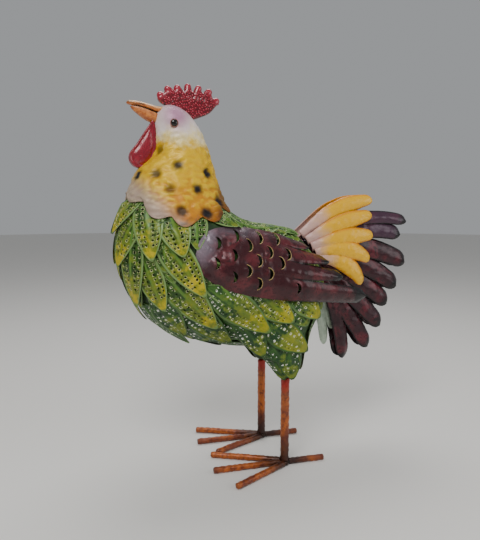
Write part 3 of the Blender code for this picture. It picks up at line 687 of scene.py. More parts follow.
def mix_paints():
    """Make every material of the figure from the chosen colours."""
    for paint in (leaf_paint, shell_paint, dark_sheet, neck_paint, comb_paint, beak_paint,
                  finger_paint, rod_paint):
        paint()
    plain_paint("eye", "glossy_eye_enamel", tint("eye"), "#0A0706", 0.1)
    plain_paint("ring", "eye_ring_cream_enamel", tint("eye_ring"), "#7C4A46", 0.4)
    # The gold of the crescent lips is partly a painted highlight.
    plain_paint("lip", "punched_lip_gold_enamel", tint("lip"), "#6A4A34", 0.45)
    plain_paint("sage", "brushed_sage_enamel", tint("sage"), "#98AA94", 0.5)
    plain_paint("weld", "sooty_weld_bead", "#3A2418", "#14100C", 0.45, 0.2, 0.7)
    # The wing's lilac-grey sheen is a painted highlight.
    plumage_paint("wing", "airbrushed_wing_enamel", "#3A1218", tint("wing_maroon"), "#1E0A0E",
                  "#060404", tint("wing_shoulder"), 0.7, 0.92)
    plumage_paint("tail", "airbrushed_tail_enamel", "#320F18", tint("tail_maroon"), "#140307",
                  "#050304", "#482E42", 0.85, 0.98)


class Figure:
    """Shared search tree of the finished body skin."""

    skin = None


def ring_points(front, rear, half, count):
    """An upright oval loop through a front point, a rear point (x, z each) and both sides."""
    (front_x, front_z), (rear_x, rear_z) = front, rear
    found = []
    for k in range(count):
        turn = 2 * math.pi * k / count
        c, s = math.cos(turn), math.sin(turn)
        found.append(place((front_x + rear_x) / 2 + (rear_x - front_x) / 2 * c, half * s,
                           (front_z + rear_z) / 2 + (rear_z - front_z) / 2 * c))
    return found


def body_blank():
    """The plain body with both thighs, one closed skin, still without its walls."""
    rows = [ring_points(row[0:2], row[2:4], row[4], 96)
            for row in read_rows(BODY_SECTIONS, even(len(BODY_SECTIONS), 66))]
    rows.insert(0, [p + REAR_FACING * 16 * UNIT for p in rows[0]])
    parts = [lattice("body_shell", rows, PAINTS["shell"], closed=True,
                     ends=(centre_of(rows[0]), place(BODY_NOSE[0], 0, BODY_NOSE[1])))]
    for side, word in SIDES:
        rows = []
        for z, front, rear, out, half in read_rows(THIGH_SECTIONS,
                                                   even(len(THIGH_SECTIONS), 30)):
            shift = Vector((0, side * (STANCE_HALF + out) * UNIT, 0))
            rows.append([p + shift for p in ring_points((front, z), (rear, z), half, 48)])
        parts.append(lattice("thigh", rows, PAINTS["shell"], closed=True,
                             ends=(centre_of(rows[0]), centre_of(rows[-1]))))
    return fused(merged("body_blank", parts, PAINTS["shell"]), 2.2, 8)


def build_body(settings):
    """Hollow hammered body with its thighs, open at the rear with a dark plate set back."""
    item = body_blank()
    Figure.skin = surface_of(item)
    depth = settings.hammer_depth
    emboss(item, lambda p, normal: hammer_marks(p, 13, depth / UNIT) - 0.5 * depth)
    with editing(item) as bm:
        bmesh.ops.bisect_plane(bm, geom=bm.verts[:] + bm.edges[:] + bm.faces[:], dist=1e-6,
                               plane_co=place(*REAR_MIDDLE), plane_no=REAR_FACING,
                               clear_outer=True)
    item.data.materials.append(PAINTS["dark"])
    walled(item, settings.sheet, -1.0, inside=1)
    item.name = "hammered_body_sheet"
    hand_over(item, "leaf_green_paint", "body")
    middle = place(*REAR_MIDDLE) - REAR_FACING * 5 * UNIT
    rim = []
    for turn in circle(PLATE_POINTS):
        aim = REAR_UP * math.cos(turn) + Vector((0, 1, 0)) * math.sin(turn)
        rim.append(Figure.skin.ray_cast(middle, aim)[0])
    rings = [[middle + (p - middle) * share * 0.975 - REAR_FACING * 3 * (1 - share) * UNIT
              for p in rim] for share in (1.0, 0.66, 0.33)]
    plate = lattice("rear_plate", rings, PAINTS["dark"], closed=True)
    with editing(plate) as bm:
        bm.faces.new(list(bm.verts)[2 * PLATE_POINTS:])
        bmesh.ops.recalc_face_normals(bm, faces=bm.faces)
    hand_over(walled(plate, settings.sheet), "leaf_green_paint")


def hit_from(view, a, b):
    """A point on the body skin and its normal, looked up from a side or along a main axis."""
    start, aim = {
        -1: ((a, -200, b), (0, 1, 0)), 1: ((a, 200, b), (0, -1, 0)),
        "above": ((a, b, 600), (0, 0, -1)), "below": ((a, b, -100), (0, 0, 1)),
        "front": ((-400, a, b), (1, 0, 0)), "rear": ((300, a, b), (-1, 0, 0))}[view]
    start, aim = place(*start), Vector(aim)
    hit, normal = Figure.skin.ray_cast(start, aim)[:2]
    if hit is None:
        hit, normal = Figure.skin.find_nearest(start + aim * 0.2)[:2]
    return hit, normal


def leaf_half(v, width):
    """Half width of a leaf at the share v of its length: widest near the middle, pointed."""
    return width / 2 * max(0.0, math.sin(math.pi * min(1.0, max(0.0, v)) ** 0.86)) ** 0.8


def leaf(name, settings, root, tip, width, yellow, pale, rise, stand, seed):
    """A pointed sheet leaf laid on the body, with a rib, a raised edge and punched holes."""
    chance = random.Random(seed)
    length = (tip[0] - root[0]).length
    count = max(6, round(length / (HOLE_STEP * UNIT)))
    columns = LEAF_COLUMNS
    facing = (root[1] + tip[1]).normalized()
    forward = (tip[0] - root[0]).normalized()
    points, across, along, punched = [], [], [], []

    def keep(u, v, mark=0.0):
        near, normal = Figure.skin.find_nearest(root[0].lerp(tip[0], v))[:2]
        side = normal.lerp(facing, 0.35).normalized().cross(forward).normalized()
        off = abs(u)
        where = near + side * u * leaf_half(v, width * UNIT) \
            - forward * 0.05 * width * UNIT * off ** 1.5 * math.sin(math.pi * v)
        near, normal = Figure.skin.find_nearest(where)[:2]
        flat = where - near
        sheet = near + (flat - normal * flat.dot(normal))
        lift = rise + stand * v ** 1.5
        lift += 1.1 * ease(0.16, 0.03, off) * math.sin(math.pi * min(1, v * 1.02)) ** 0.5
        lift += 0.7 * ease(0.76, 0.88, off) - 0.9 * ease(0.93, 1.0, off) * (1 - v)
        lift += 0.5 * (1 - off)
        turn = math.atan2(sheet.y, sheet.x - place(HOOD_AXIS_X, 0, 0).x)
        under = drawn(sheet)[1] - rim_height(turn)
        lift = min(lift, 0.7 + 2.4 * ease(2, -7, under) + 20 * ease(-7, -16, under))
        points.append(sheet + normal * lift * UNIT)
        across.append(u)
        along.append(v)
        punched.append(mark)
        return len(points) - 1

    starts = [0.012 + (1 - 0.012) * (i / count) for i in range(count)] + [0.994]
    nodes, middles, sides = {}, {}, {}
    for i, v in enumerate(starts):
        for k, u in enumerate(columns):
            nodes[i, k] = keep(u, v)
            if k:
                middles[i, k - 1] = keep((u + columns[k - 1]) / 2, v)
            if i:
                sides[i - 1, k] = keep(u, (v + starts[i - 1]) / 2)
    faces = []
    for i in range(count):
        v = (starts[i] + starts[i + 1]) / 2
        half = leaf_half(v, width)
        for k in range(len(columns) - 1):
            u = (columns[k] + columns[k + 1]) / 2
            loop = [nodes[i, k], middles[i, k], nodes[i, k + 1], sides[i, k + 1],
                    nodes[i + 1, k + 1], middles[i + 1, k], nodes[i + 1, k], sides[i, k]]
            room = half * (columns[k + 1] - columns[k])
            if RIB_SHARE < abs(u) < RIM_SHARE and 0.05 < v < 0.95 and room > HOLE_ROOM:
                radius = settings.hole / 2 / UNIT * chance.uniform(0.85, 1.15) * (1 - 0.65 * pale)
                middle_u = u + chance.uniform(-0.5, 0.5) / half
                middle_v = v + chance.uniform(-0.5, 0.5) * UNIT / length
                inner = []
                for step in range(8):
                    turn = math.pi * (-0.75 + step / 4)
                    inner.append(keep(middle_u + radius / half * math.cos(turn),
                                      middle_v + radius * UNIT / length * math.sin(turn), 1.0))
                faces += [(loop[n - 1], loop[n], inner[n], inner[n - 1]) for n in range(8)]
            else:
                heart = keep(u, v)
                faces += [(loop[n], loop[n + 1], heart, loop[n - 1]) for n in range(0, 8, 2)]
    total = len(points)
    sheet = new_piece(name, points, faces, PAINTS["leaf"], across=across, along=along,
                      punched=punched, yellow=[yellow] * total, pale=[pale] * total)
    clean_sheet(sheet, facing, 0.12, 0.05)
    walled(sheet, settings.sheet * 0.8)
    sheet.data.shade_smooth()
    return sheet


def build_leaves(settings):
    """All leaf feathers: those of the sides, then back, belly, breast and thighs."""
    lift = settings.tip_lift / UNIT
    for side, word in SIDES:
        for n, (rx, rz, tx, tz, width, yellow) in enumerate(SIDE_LEAVES):
            root = hit_from(side, rx + 0.3 * (rx - tx), rz + 0.3 * (rz - tz))
            item = leaf("%s_leaf_sheet_%02d" % (word, n + 1), settings, root,
                        hit_from(side, tx, tz), width * 1.1, yellow,
                        ease(225, 185, (rz + tz) / 2), 1.4 if n % 2 else 2.2, lift,
                        settings.seed + n)
            hand_over(item, "leaf_green_paint", "%s_leaf_%02d" % (word, n + 1))
    extras = []
    for rx, rz, tx, tz, width, yellow in UNDER_LEAVES:
        extras += [("under", s, (rx, rz), (tx, tz), width, yellow,
                    ease(225, 185, (rz + tz) / 2)) for s in (-1, 1)]
    for word, view, pale, rows in (("back", "above", 0.0, BACK_LEAVES),
                                   ("belly", "below", 1.0, BELLY_LEAVES)):
        for rx, ry, tx, ty, width, yellow in rows:
            extras += [(word, view, (rx, s * ry), (tx, s * ty), width, yellow, pale)
                       for s in ((-1, 1) if ry else (1,))]
    for a, b, c, d, width, yellow in BREAST_LEAVES:
        extras.append(("breast", "front", (a, b), (c, d), width, yellow, 0.0))
    for a, b, c, d, width, yellow in THIGH_LEAVES:
        extras += [("thigh", "rear", (s * (STANCE_HALF + a), b), (s * (STANCE_HALF + c), d),
                    width, yellow, 0.8) for s in (-1, 1)]
    a, b, c, d, width, yellow = LOOSE_LEAF
    extras.append(("loose", "below", (a, b), (c, d), width, yellow, 0.6))
    for n, (word, view, root, tip, width, yellow, pale) in enumerate(extras):
        item = leaf("%s_leaf_sheet_%02d" % (word, n + 1), settings, hit_from(view, *root),
                    hit_from(view, *tip), width, yellow, pale, 0.4 + 0.7 * (n // 2 % 2),
                    LOOSE_LEAF_STAND if word == "loose" else 0.45 * lift,
                    settings.seed + 50 + n)
        hand_over(item, "leaf_green_paint")


def rim_height(angle):
    """Height of the hood's scalloped rim, angle 0 at the rear and half a turn at the breast."""
    share = (1 - math.cos(angle)) / 2
    middle = HOOD_RIM_REAR + (HOOD_RIM_FRONT - HOOD_RIM_REAR) * share ** 1.5
    dip = (middle - HOOD_RIM_SIDE) * math.sin(angle) ** 2
    turn = (abs(angle) / (2 * math.pi) * HOOD_SCALLOPS) % 1.0
    return middle - dip - HOOD_SCALLOP_DEPTH * (math.sin(math.pi * turn ** 1.35) - 0.5)


def build_hood(settings):
    """Neck and head sheet: quilted, dimpled, open below with a scalloped rim."""
    count, fine = 180, 110
    quarter = count // 4
    crown = place(HOOD_CROWN[0], 0, HOOD_CROWN[1] + 0.3)
    heart = place(HOOD_AXIS_X, 0, 330)
    rings = [[crown] * count]
    for front_x, front_z, rear_x, rear_z, half in HOOD_SECTIONS:
        ring = ring_points((rear_x, rear_z), (front_x, front_z), half, count)
        rings.append(ring[count // 2:] + ring[:count // 2])
    rim = []
    for k in range(count):
        angle = math.pi + 2 * math.pi * k / count
        angle = (angle + math.pi) % (2 * math.pi) - math.pi
        height = rim_height(angle)
        outside = place(HOOD_AXIS_X + 200 * math.cos(angle), 200 * math.sin(angle), height)
        aim = (place(HOOD_AXIS_X, 0, height) - outside).normalized()
        hit, normal = Figure.skin.ray_cast(outside, aim)[:2]
        rim.append(hit + normal * (HOOD_FLARE + 0.6) * UNIT)
    last = rings[-1]
    order = min(range(count), key=lambda s: (last[0] - rim[s]).length)
    turn = min((1, -1), key=lambda t: (last[quarter] - rim[(order + t * quarter) % count]).length)
    rim = [rim[(order + turn * k) % count] for k in range(count)]
    rings += [[a.lerp(b, 0.5) + (a - heart).normalized() * UNIT for a, b in zip(last, rim)], rim]
    columns = [read_rows([ring[k] for ring in rings], even(len(rings), fine))
               for k in range(count)]
    rows = [[Vector(column[i]) for column in columns] for i in range(1, fine)]
    item = lattice("neck_and_head_sheet", rows, PAINTS["neck"], closed=True)
    with editing(item) as bm:
        first = list(bm.verts)[:count]
        top = bm.verts.new(crown)
        for k in range(count):
            bm.faces.new((first[k], first[(k + 1) % count], top))
        bmesh.ops.recalc_face_normals(bm, faces=bm.faces)
        if sum((f.calc_center_median() - heart).dot(f.normal) for f in bm.faces) < 0:
            bmesh.ops.reverse_faces(bm, faces=bm.faces)
    outer = surface_of(item)
    dimples = []
    for x, z, radius, strength in NECK_SPOTS:
        for side, word in SIDES:
            hit = outer.ray_cast(place(x, side * 200, z), Vector((0, -side, 0)))[0]
            if hit:
                dimples.append((hit, radius, strength))
    spots, hollows = [], []

    def quilted(p, normal):
        neck = ease(425, 398, drawn(p)[1]) * 0.85 + 0.15
        wave = noise.noise(Vector((p.x / 7.0, p.y / 7.0, p.z / 4.4)) / UNIT)
        patch = hammer_marks(Vector((p.x, p.y, p.z * 1.5)), 13.0, 1.0, 3.7) / UNIT
        cells = min(1.0, max(0.0, 0.55 + 0.75 * wave + 0.35 * (patch - 0.6)))
        shift = neck * settings.quilt * 1.5 * (cells - 0.6)
        jag = 0.22 * noise.noise(p / (4 * UNIT))
        spot = 0.0
        for centre, radius, strength in dimples:
            away = (p - centre).length / UNIT / radius
            shift -= settings.quilt * 1.1 * ease(1.4, 0.2, away)
            spot = max(spot, strength * ease(1.45, 0.4, away + jag))
        spots.append(spot)
        # The neck paint darkens these hollows as painted shade.
        hollows.append(1 - cells)
        return shift

    emboss(item, quilted)
    mark(item.data, spot=spots, hollow=hollows)
    walled(item, settings.sheet, -1.0)
    item.data.shade_smooth()
    hand_over(item, "neck_yellow_paint", "hood")


def slab(name, outline, middle, half, material, layers):
    """A closed pillow over an outline (x, z): layers are shares towards the middle and swell."""
    rows = [[place(x + (middle[0] - x) * inward, half * swell, z + (middle[1] - z) * inward)
             for x, z in outline]
            for inward, swell in [(i, -s) for i, s in reversed(layers)] + layers]
    return lattice(name, rows, material, closed=True,
                   ends=(centre_of(rows[0]), centre_of(rows[-1])))


def smooth_loop(outline, count):
    """An outline (x, z) read smoothly all round."""
    table = list(outline[-2:]) + list(outline) + list(outline[:3])
    places = [2 + len(outline) * k / count for k in range(count)]
    return [tuple(p) for p in read_rows(table, places)]


def node_form(item, name, inputs):
    """Give an object a node tree as its modifier, with named inputs: label, type and value."""
    tree = bpy.data.node_groups.new(name, "GeometryNodeTree")
    inputs = (("Geometry", "Geometry", None),) + inputs
    sockets = [tree.interface.new_socket(label, in_out="INPUT", socket_type="NodeSocket" + kind)
               for label, kind, value in inputs]
    tree.interface.new_socket("Geometry", in_out="OUTPUT", socket_type="NodeSocketGeometry")
    form = item.modifiers.new(name, "NODES")
    form.node_group = tree
    for socket, (label, kind, value) in zip(sockets[1:], inputs[1:]):
        form[socket.identifier] = value
    return tree, add(tree, "NodeGroupInput")


def finish_tree(tree, geometry, paint):
    """Close a node tree with smooth shading and the paint."""
    smooth = add(tree, "GeometryNodeSetShadeSmooth", [geometry])[0]
    painted = add(tree, "GeometryNodeSetMaterial", {"Geometry": smooth, "Material": paint})[0]
    add(tree, "NodeGroupOutput", {"Geometry": painted})


def rolled_edge(name, lines, radius, paint, closed=False):
    """Lay a round bead along drawn lines by a node tree; each point has its own thickness."""
    edges, points, thick = [], [], []
    for line in lines:
        first = len(points)
        points += [point for point, size in line]
        thick += [size for point, size in line]
        edges += [(k, k + 1) for k in range(first, len(points) - 1)]
        edges += [(len(points) - 1, first)] if closed else []
    item = new_piece(name, points, [], PAINTS[paint], edges, thick=thick)
    tree, given = node_form(item, name, (("Radius", "Float", radius),
                                         ("Paint", "Material", PAINTS[paint])))
    size = add(tree, "GeometryNodeInputNamedAttribute", {"Name": "thick"}, data_type="FLOAT")
    wires = add(tree, "GeometryNodeMeshToCurve", {"Mesh": given["Geometry"]})
    sized = add(tree, "GeometryNodeSetCurveRadius", {"Curve": wires[0],
                                                     "Radius": size["Attribute"]})
    section = add(tree, "GeometryNodeCurvePrimitiveCircle", {"Resolution": 8,
                                                             "Radius": given["Radius"]})
    bead = add(tree, "GeometryNodeCurveToMesh", {"Curve": sized[0], "Profile Curve": section[0],
                                                 "Fill Caps": True})
    real = add(tree, "GeometryNodeRealizeInstances", {"Geometry": bead[0]})
    finish_tree(tree, real[0], given["Paint"])
    return settle(item)


def raspberry(name, item, settings):
    """Cover a form with small rounded bumps by a node tree and give back the baked mesh."""
    tree, given = node_form(item, name, (
        ("Spacing", "Float", settings.bump_spacing), ("Bump radius", "Float",
                                                      settings.bump_radius),
        ("Seed", "Int", settings.seed), ("Paint", "Material", PAINTS["comb"])))
    bumpy = add(tree, "GeometryNodeInputNamedAttribute", {"Name": "bumpy"}, data_type="FLOAT")
    scatter = add(tree, "GeometryNodeDistributePointsOnFaces", {
        "Mesh": given["Geometry"], "Density Factor": bumpy["Attribute"],
        "Distance Min": given["Spacing"], "Density Max": 4.0e5,
        "Seed": given["Seed"]}, distribute_method="POISSON")
    ball = add(tree, "GeometryNodeMeshIcoSphere", {"Radius": given["Bump radius"],
                                                   "Subdivisions": 2})
    size = add(tree, "FunctionNodeRandomValue", {
        "Min": (0.8, 0.8, 0.5), "Max": (1.2, 1.2, 0.7), "Seed": given["Seed"]},
        data_type="FLOAT_VECTOR")
    bumps = add(tree, "GeometryNodeInstanceOnPoints", {
        "Points": scatter["Points"], "Instance": ball["Mesh"],
        "Rotation": scatter["Rotation"], "Scale": size[0]})
    real = add(tree, "GeometryNodeRealizeInstances", {"Geometry": bumps[0]})
    # The bumps are marked raised, which the paint makes lighter as a painted highlight.
    raised = add(tree, "GeometryNodeStoreNamedAttribute", {
        "Geometry": real[0], "Name": "raised", "Value": 1.0}, data_type="FLOAT", domain="POINT")
    both = add(tree, "GeometryNodeJoinGeometry", {"Geometry": given["Geometry"]})
    tree.links.new(raised[0], both[0].node.inputs[0])
    finish_tree(tree, both[0], given["Paint"])
    return settle(item)


def build_comb(settings):
    """Thick crimson comb with rounded points, its whole skin covered with small bumps."""
    outline = [p for pair in zip(COMB_POINTS, COMB_NOTCHES) for p in pair]
    outline += COMB_POINTS[-1:] + COMB_UNDER
    inner = smooth_loop([(x, z - (6 if (x, z) in COMB_POINTS else 2.5 * (z > 449)))
                         for x, z in outline], 120)
    parts = [slab("comb_plate", inner, COMB_MIDDLE, 5.2, PAINTS["comb"],
                  [(0.0, 0.45), (0.04, 0.85), (0.16, 1.0), (0.55, 1.05)])]
    blunt, side = 4.4, Vector((0, 1, 0))
    stations = [(-15 * (1 - k / 8), 6.6 - 2.2 * k / 8) for k in range(9)]
    stations += [(blunt * math.sin(math.pi * k / 8), blunt * math.cos(math.pi * k / 8))
                 for k in range(1, 4)]
    for x, z in COMB_POINTS:
        aim = Vector((x - COMB_MIDDLE[0], 0, z - COMB_MIDDLE[1] + 10)).normalized()
        tip = Vector((x, 0, z)) - aim * 4.3
        up = aim.cross(side)
        rows = [[place(*(tip + aim * reach + (side * math.cos(a) + up * math.sin(a)) * radius))
                 for a in circle(20)] for reach, radius in stations]
        parts.append(lattice("comb_point", rows, PAINTS["comb"], closed=True,
                             ends=(centre_of(rows[0]), place(*(tip + aim * blunt)))))
    item = fused(merged("raspberry_comb", parts, PAINTS["comb"]), 0.9, 3)
    raised, bumpy = [], []
    for vert in item.data.vertices:
        x, z = drawn(vert.co)
        off = min(math.hypot(x - a, z - b) for a, b in COMB_POINTS)
        # The points and bumps are painted lighter as a painted highlight, the rest darker as
        # painted shade.
        raised.append(0.75 * ease(12, 4, off))
        bumpy.append(ease(7.0, 9.5, off) * ease(0.5, 0.8, abs(vert.normal.y)))
    mark(item.data, raised=raised, bumpy=bumpy)
    raspberry("comb_bumps", item, settings)
    hand_over(item, "comb_crimson_paint", "comb")


def build_wattles(settings):
    """Teardrop wattles with a raised rim around a sunken step and a domed middle."""
    half = 2.3
    profile = [(0.0, 0.25), (0.015, 0.75), (0.05, 1.0), (0.11, 1.0), (0.16, 0.72),
               (0.22, 0.62), (0.32, 0.95), (0.48, 1.3), (0.7, 1.5), (0.9, 1.55)]
    for side, word in SIDES:
        item = slab(word + "_rimmed_wattle", smooth_loop(WATTLE_OUTLINE, 96), WATTLE_MIDDLE,
                    half, PAINTS["comb"], profile)
        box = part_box(word + "_wattle")
        raised = []
        for vert in item.data.vertices:
            grain = hammer_marks(vert.co, 3.0, 1.0, 1.3) / UNIT
            # The raised grain is painted lighter as a painted highlight.
            raised.append(0.55 * grain + 0.3)
            inside = ease(0.5, 1.2, abs(vert.co.y) / (half * UNIT))
            vert.co.y += math.copysign(0.35 * UNIT * (grain - 0.5) * inside, vert.co.y)
            vert.co.y += (box[0].y + box[1].y) / 2
        mark(item.data, raised=raised)
        hand_over(item, "comb_crimson_paint", word + "_wattle")


def build_beak(settings):
    """Both halves of the beak, slightly parted, with sunken nostril slits painted dark as shade."""
    for name, sections, tip, sign, tan in (
            ("upper_beak", UPPER_BEAK, UPPER_BEAK_TIP, 1, 0.85),
            ("lower_beak", LOWER_BEAK, LOWER_BEAK_TIP, -1, 0.3)):
        rows, worn, ridge = [], [], []
        for row in read_rows(sections, even(len(sections), 44)):
            upper, lower = place(row[0], 0, row[1]), place(row[2], 0, row[3])
            ring = []
            for k in range(64):
                c, s = math.cos(math.pi * k / 32), math.sin(math.pi * k / 32)
                flat = math.copysign(abs(c) ** (0.22 if c * sign < 0 else 1.0), c)
                ring.append((upper + lower) / 2 + (upper - lower) / 2 * flat
                            + Vector((0, row[4] * s * UNIT, 0)))
            rows.append(ring)
        item = lattice(name + "_form", rows, PAINTS["beak"], closed=True,
                       ends=(centre_of(rows[0]), place(tip[0], 0, tip[1])))

        def slit_depth(p, normal):
            x, z = drawn(p)
            slit = 0.0
            for slit_x, slit_z, reach in NOSTRILS if sign > 0 else ():
                away = math.hypot((x - slit_x) / reach, (z - slit_z - 0.35 * (slit_x - x)) / 0.9)
                slit = max(slit, ease(1.15, 0.7, away))
            gape = ease(1.5, 0.5, abs(z - (431.3 + 0.35 * (-150 - x))))
            # Dark marks: painted shade in the nostril slits, and wear with painted shade along the
            # gape.
            worn.append(max(slit, 0.6 * gape))
            ridge.append(ease(-0.1, 0.7, normal.z) * tan)
            return -0.7 * UNIT * slit

        emboss(item, slit_depth)
        mark(item.data, worn=worn, ridge=ridge)
        hand_over(item, "beak_orange_paint", name)


def build_eyes(settings):
    """Glossy black domes in a thin ring."""
    for side, word in SIDES:
        low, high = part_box(word + "_eye")
        centre = (low + high) / 2 - Vector((1.4, 0, 1.2)) * UNIT
        centre.y = side * max(abs(low.y), abs(high.y))
        radius = (high.z - low.z) / 2
        sunk = Vector((0, side * radius * 0.5, 0))
        rows = []
        for step in range(13):
            bend = math.pi / 2 * (1 - step / 13)
            flat, deep = radius * math.sin(bend), radius * 0.62 * (math.cos(bend) - 1.0)
            rows.append([centre + Vector((flat * math.cos(a), side * deep, flat * math.sin(a)))
                         for a in circle(40)])
        rows.insert(0, [p - sunk for p in rows[0]])
        item = lattice(word + "_eye_bead", rows, PAINTS["eye"], closed=True,
                       ends=(centre - sunk * 2.2, centre))
        hand_over(item, "eye_black_paint", word + "_eye")
        line = [(centre + Vector((math.cos(a), 0, math.sin(a))) * (radius + 0.2 * UNIT) - sunk,
                 1.0) for a in circle(48)]
        ring = rolled_edge(word + "_eye_ring", [line], settings.lip * 1.2, "ring", True)
        hand_over(ring, "eye_black_paint")


def dome_side(x, share, z):
    """Distance of the wing from the middle plane: a dome whose top edge rests on the body."""
    dome = WING_TOP_SIDE + (WING_LOW_SIDE - WING_TOP_SIDE) * share
    dome += WING_DOME * 4 * share * (1 - share)
    dome -= WING_REAR_DRAW * (max(0, x + 10) / 114) ** 2
    dome -= WING_FRONT_DRAW * (max(0, -72 - x) / 45) ** 2
    hit = Figure.skin.ray_cast(place(x, -200, z), Vector((0, 1, 0)))[0]
    if hit is None:
        return dome
    body = -hit.y / UNIT
    if -106 < x < -60:
        seat = body + 0.8
        return seat + (max(dome, body + 3) - seat) * ease(0.0, 0.12, share)
    return max(dome, body + 3)


def finger_place(share):
    """Place across a rear finger, from -1 at its upper groove to 1 at its lower one."""
    for low, high in zip(WING_SHARES, WING_SHARES[1:]):
        if share <= high:
            return 2 * (share - low) / (high - low) - 1
    return 1.0


def wing_side(x, z, share, fade):
    """Distance of the wing from the middle plane, with ridges and the scales' relief."""
    side = dome_side(x, share, z) + fade * (2.6 * (1 - finger_place(share) ** 2) - 1.2)
    for cx, cz in CRESCENTS:
        ahead = ((x - cx + 3.5) / 5.5) ** 2 + ((z - cz) / 6.0) ** 2
        behind = ((x - cx - 3.5) / 3.5) ** 2 + ((z - cz) / 6.5) ** 2
        side += 1.5 * math.exp(-ahead) * (ahead < 6) - 1.4 * math.exp(-behind) * (behind < 6)
    return side + 0.5 * math.sin((x + 117) / 2.6) * ease(-88, -112, x)


def on_row(row, share):
    """Point (x, z) of a wing row at a share of its height, from the top down."""
    return row[0] + (row[2] - row[0]) * share, row[1] + (row[3] - row[1]) * share


def wing_parts(side):
    """The field of a wing and its four rear fingers, as open sheets."""
    def put(x, z, d):
        p = place(x, side * d, z)
        return p + Vector((0, side, 0)) * (hammer_marks(p, 9.5, 1.0, 5.1) - 0.5 * UNIT)

    lanes, steps, bend = 10, 26, 0.86
    shares = [0.0]
    for low, high in zip(WING_SHARES, WING_SHARES[1:]):
        shares += [low + (high - low) * (k + 1) / lanes for k in range(lanes)]
    body_rows = [(-118.4, 270.5, -118.4, 266.0)]
    body_rows += read_rows(WING_ROWS, even(len(WING_ROWS), 84))
    rows, across, along, light = [], [], [], []
    for row in body_rows:
        line = []
        for share in shares:
            x, z = on_row(row, share)
            line.append(put(x, z, wing_side(x, z, share, ease(-48, 2, x))))
            across.append(abs(finger_place(share)) * ease(-30, 4, x) * 0.94)
            along.append(0.5 * ease(-118, 8, x))
            # A painted highlight on the wing's front shoulder and along its top edge.
            light.append(max(ease(-88, -112, x - 0.3 * (z - 272)) * ease(246, 276, z),
                             0.4 * ease(0.22, 0.04, share) * ease(-10, -70, x)))
        rows.append(line)
    parts = [lattice("wing_field", rows, PAINTS["wing"], across=across, along=along, light=light)]
    last = body_rows[-1]
    for n, (tip_x, tip_z) in enumerate(WING_TIPS):
        low, high = WING_SHARES[n:n + 2]
        middle = (low + high) / 2
        mx, mz = on_row(last, middle)
        start_side = dome_side(mx, middle, mz)
        tip_side = min(dome_side(tip_x, middle if n < 3 else 0.8, tip_z), start_side)
        own = []
        for share in shares[n * lanes:(n + 1) * lanes + 1]:
            rx, rz = on_row(last, share)
            own.append((rx, rz, 2 * (share - low) / (high - low) - 1,
                        wing_side(rx, rz, share, 1.0)))
        rows, across, along = [], [], []
        for i in range(steps + 1):
            t = i / steps
            t = t if t < bend else bend + (1 - bend) * math.sin((t - bend) / (1 - bend)
                                                                * math.pi / 2)
            wide = (1 - WING_TAPERS[n] * t) * math.sqrt(
                max(0.0, 1 - max(0.0, (t - bend) / (1 - bend)) ** 2))
            rows.append([put(mx + (tip_x - mx) * t + (rx - mx) * wide,
                             mz + (tip_z - mz) * t + (rz - mz) * wide,
                             root + (tip_side - start_side) * t + (1 - c * c) * t
                             - 1.6 * ease(0.75, 1.0, t)) for rx, rz, c, root in own])
            across += [min(1.0, abs(c)) * (0.94 if t < 0.8 else 1.0) for rx, rz, c, root in own]
            along += [0.5 + 0.5 * t] * len(own)
        parts.append(lattice("wing_finger", rows, PAINTS["wing"], across=across, along=along,
                             light=[0.0] * len(along)))
    return parts


def build_wings(settings):
    """Domed wing sheets with punched crescents, their lips gold in the middle and maroon at the
    front and the last, and four rear fingers; the gold is partly the bare sheet edge and partly a
    painted highlight.
    """
    reach, opening, tall = [size / UNIT for size in (settings.slot_reach, settings.slot_opening,
                                                     settings.slot_height)]
    for side, word in SIDES:
        sheet = merged(word + "_wing_sheet", wing_parts(side), PAINTS["wing"])
        clean_sheet(sheet, Vector((0, side, 0)), 0.05, 0.02)
        outer = surface_of(sheet)
        walled(sheet, settings.sheet)
        cutters, lips = [], []
        for cx, cz in CRESCENTS:
            axis = cx - (reach - opening / 2)
            ring = []
            for bulge, stations in ((reach, range(11)), (reach - opening, range(9, 0, -1))):
                for i in stations:
                    a = math.pi * (i / 10 - 0.5)
                    ring.append((axis + bulge * math.cos(a), cz + tall / 2 * math.sin(a)))
            n = len(ring)
            points = [place(x, side * d, z) for d in (40, 110) for x, z in ring]
            faces = [range(n), range(n, 2 * n)]
            faces += [(k, (k + 1) % n, n + (k + 1) % n, n + k) for k in range(n)]
            cutters.append(new_piece("crescent_cutter", points, faces, PAINTS["dark"]))
            face_outwards(cutters[-1])
            line = []
            for i in range(25):
                a = math.pi * (i / 24 - 0.5) * 0.94
                where = place(axis + (reach + 0.1) * math.cos(a), side * 200,
                              cz + (tall / 2 + 0.3) * math.sin(a))
                hit = outer.ray_cast(where, Vector((0, -side, 0)))[0]
                if hit:
                    line.append((hit + Vector((0, side * 0.4 * UNIT, 0)),
                                 0.25 + 0.75 * math.cos(a) ** 0.5))
            lips.append(line)
        bars = merged("crescent_cutters", cutters, PAINTS["dark"])
        punch = sheet.modifiers.new("punch", "BOOLEAN")
        punch.operation = "DIFFERENCE"
        punch.solver = "EXACT"
        punch.object = bars
        settle(sheet)
        bpy.data.objects.remove(bars)
        sheet.data.set_sharp_from_angle(angle=math.radians(55))
        hand_over(sheet, "wing_maroon_paint", word + "_wing")
        # Gold lips: partly the bare sheet edge, partly a painted highlight.
        for name, key, lines in (("_gold_lips", "lip", lips[5:15]),
                                 ("_maroon_lips", "wing", lips[:5] + lips[15:])):
            hand_over(rolled_edge(word + name, lines, settings.lip, key), "wing_maroon_paint")


def bezier(a, b, c, t):
    """Point of a curve from a to c pulled towards b."""
    return a * (1 - t) ** 2 + b * 2 * t * (1 - t) + c * t * t


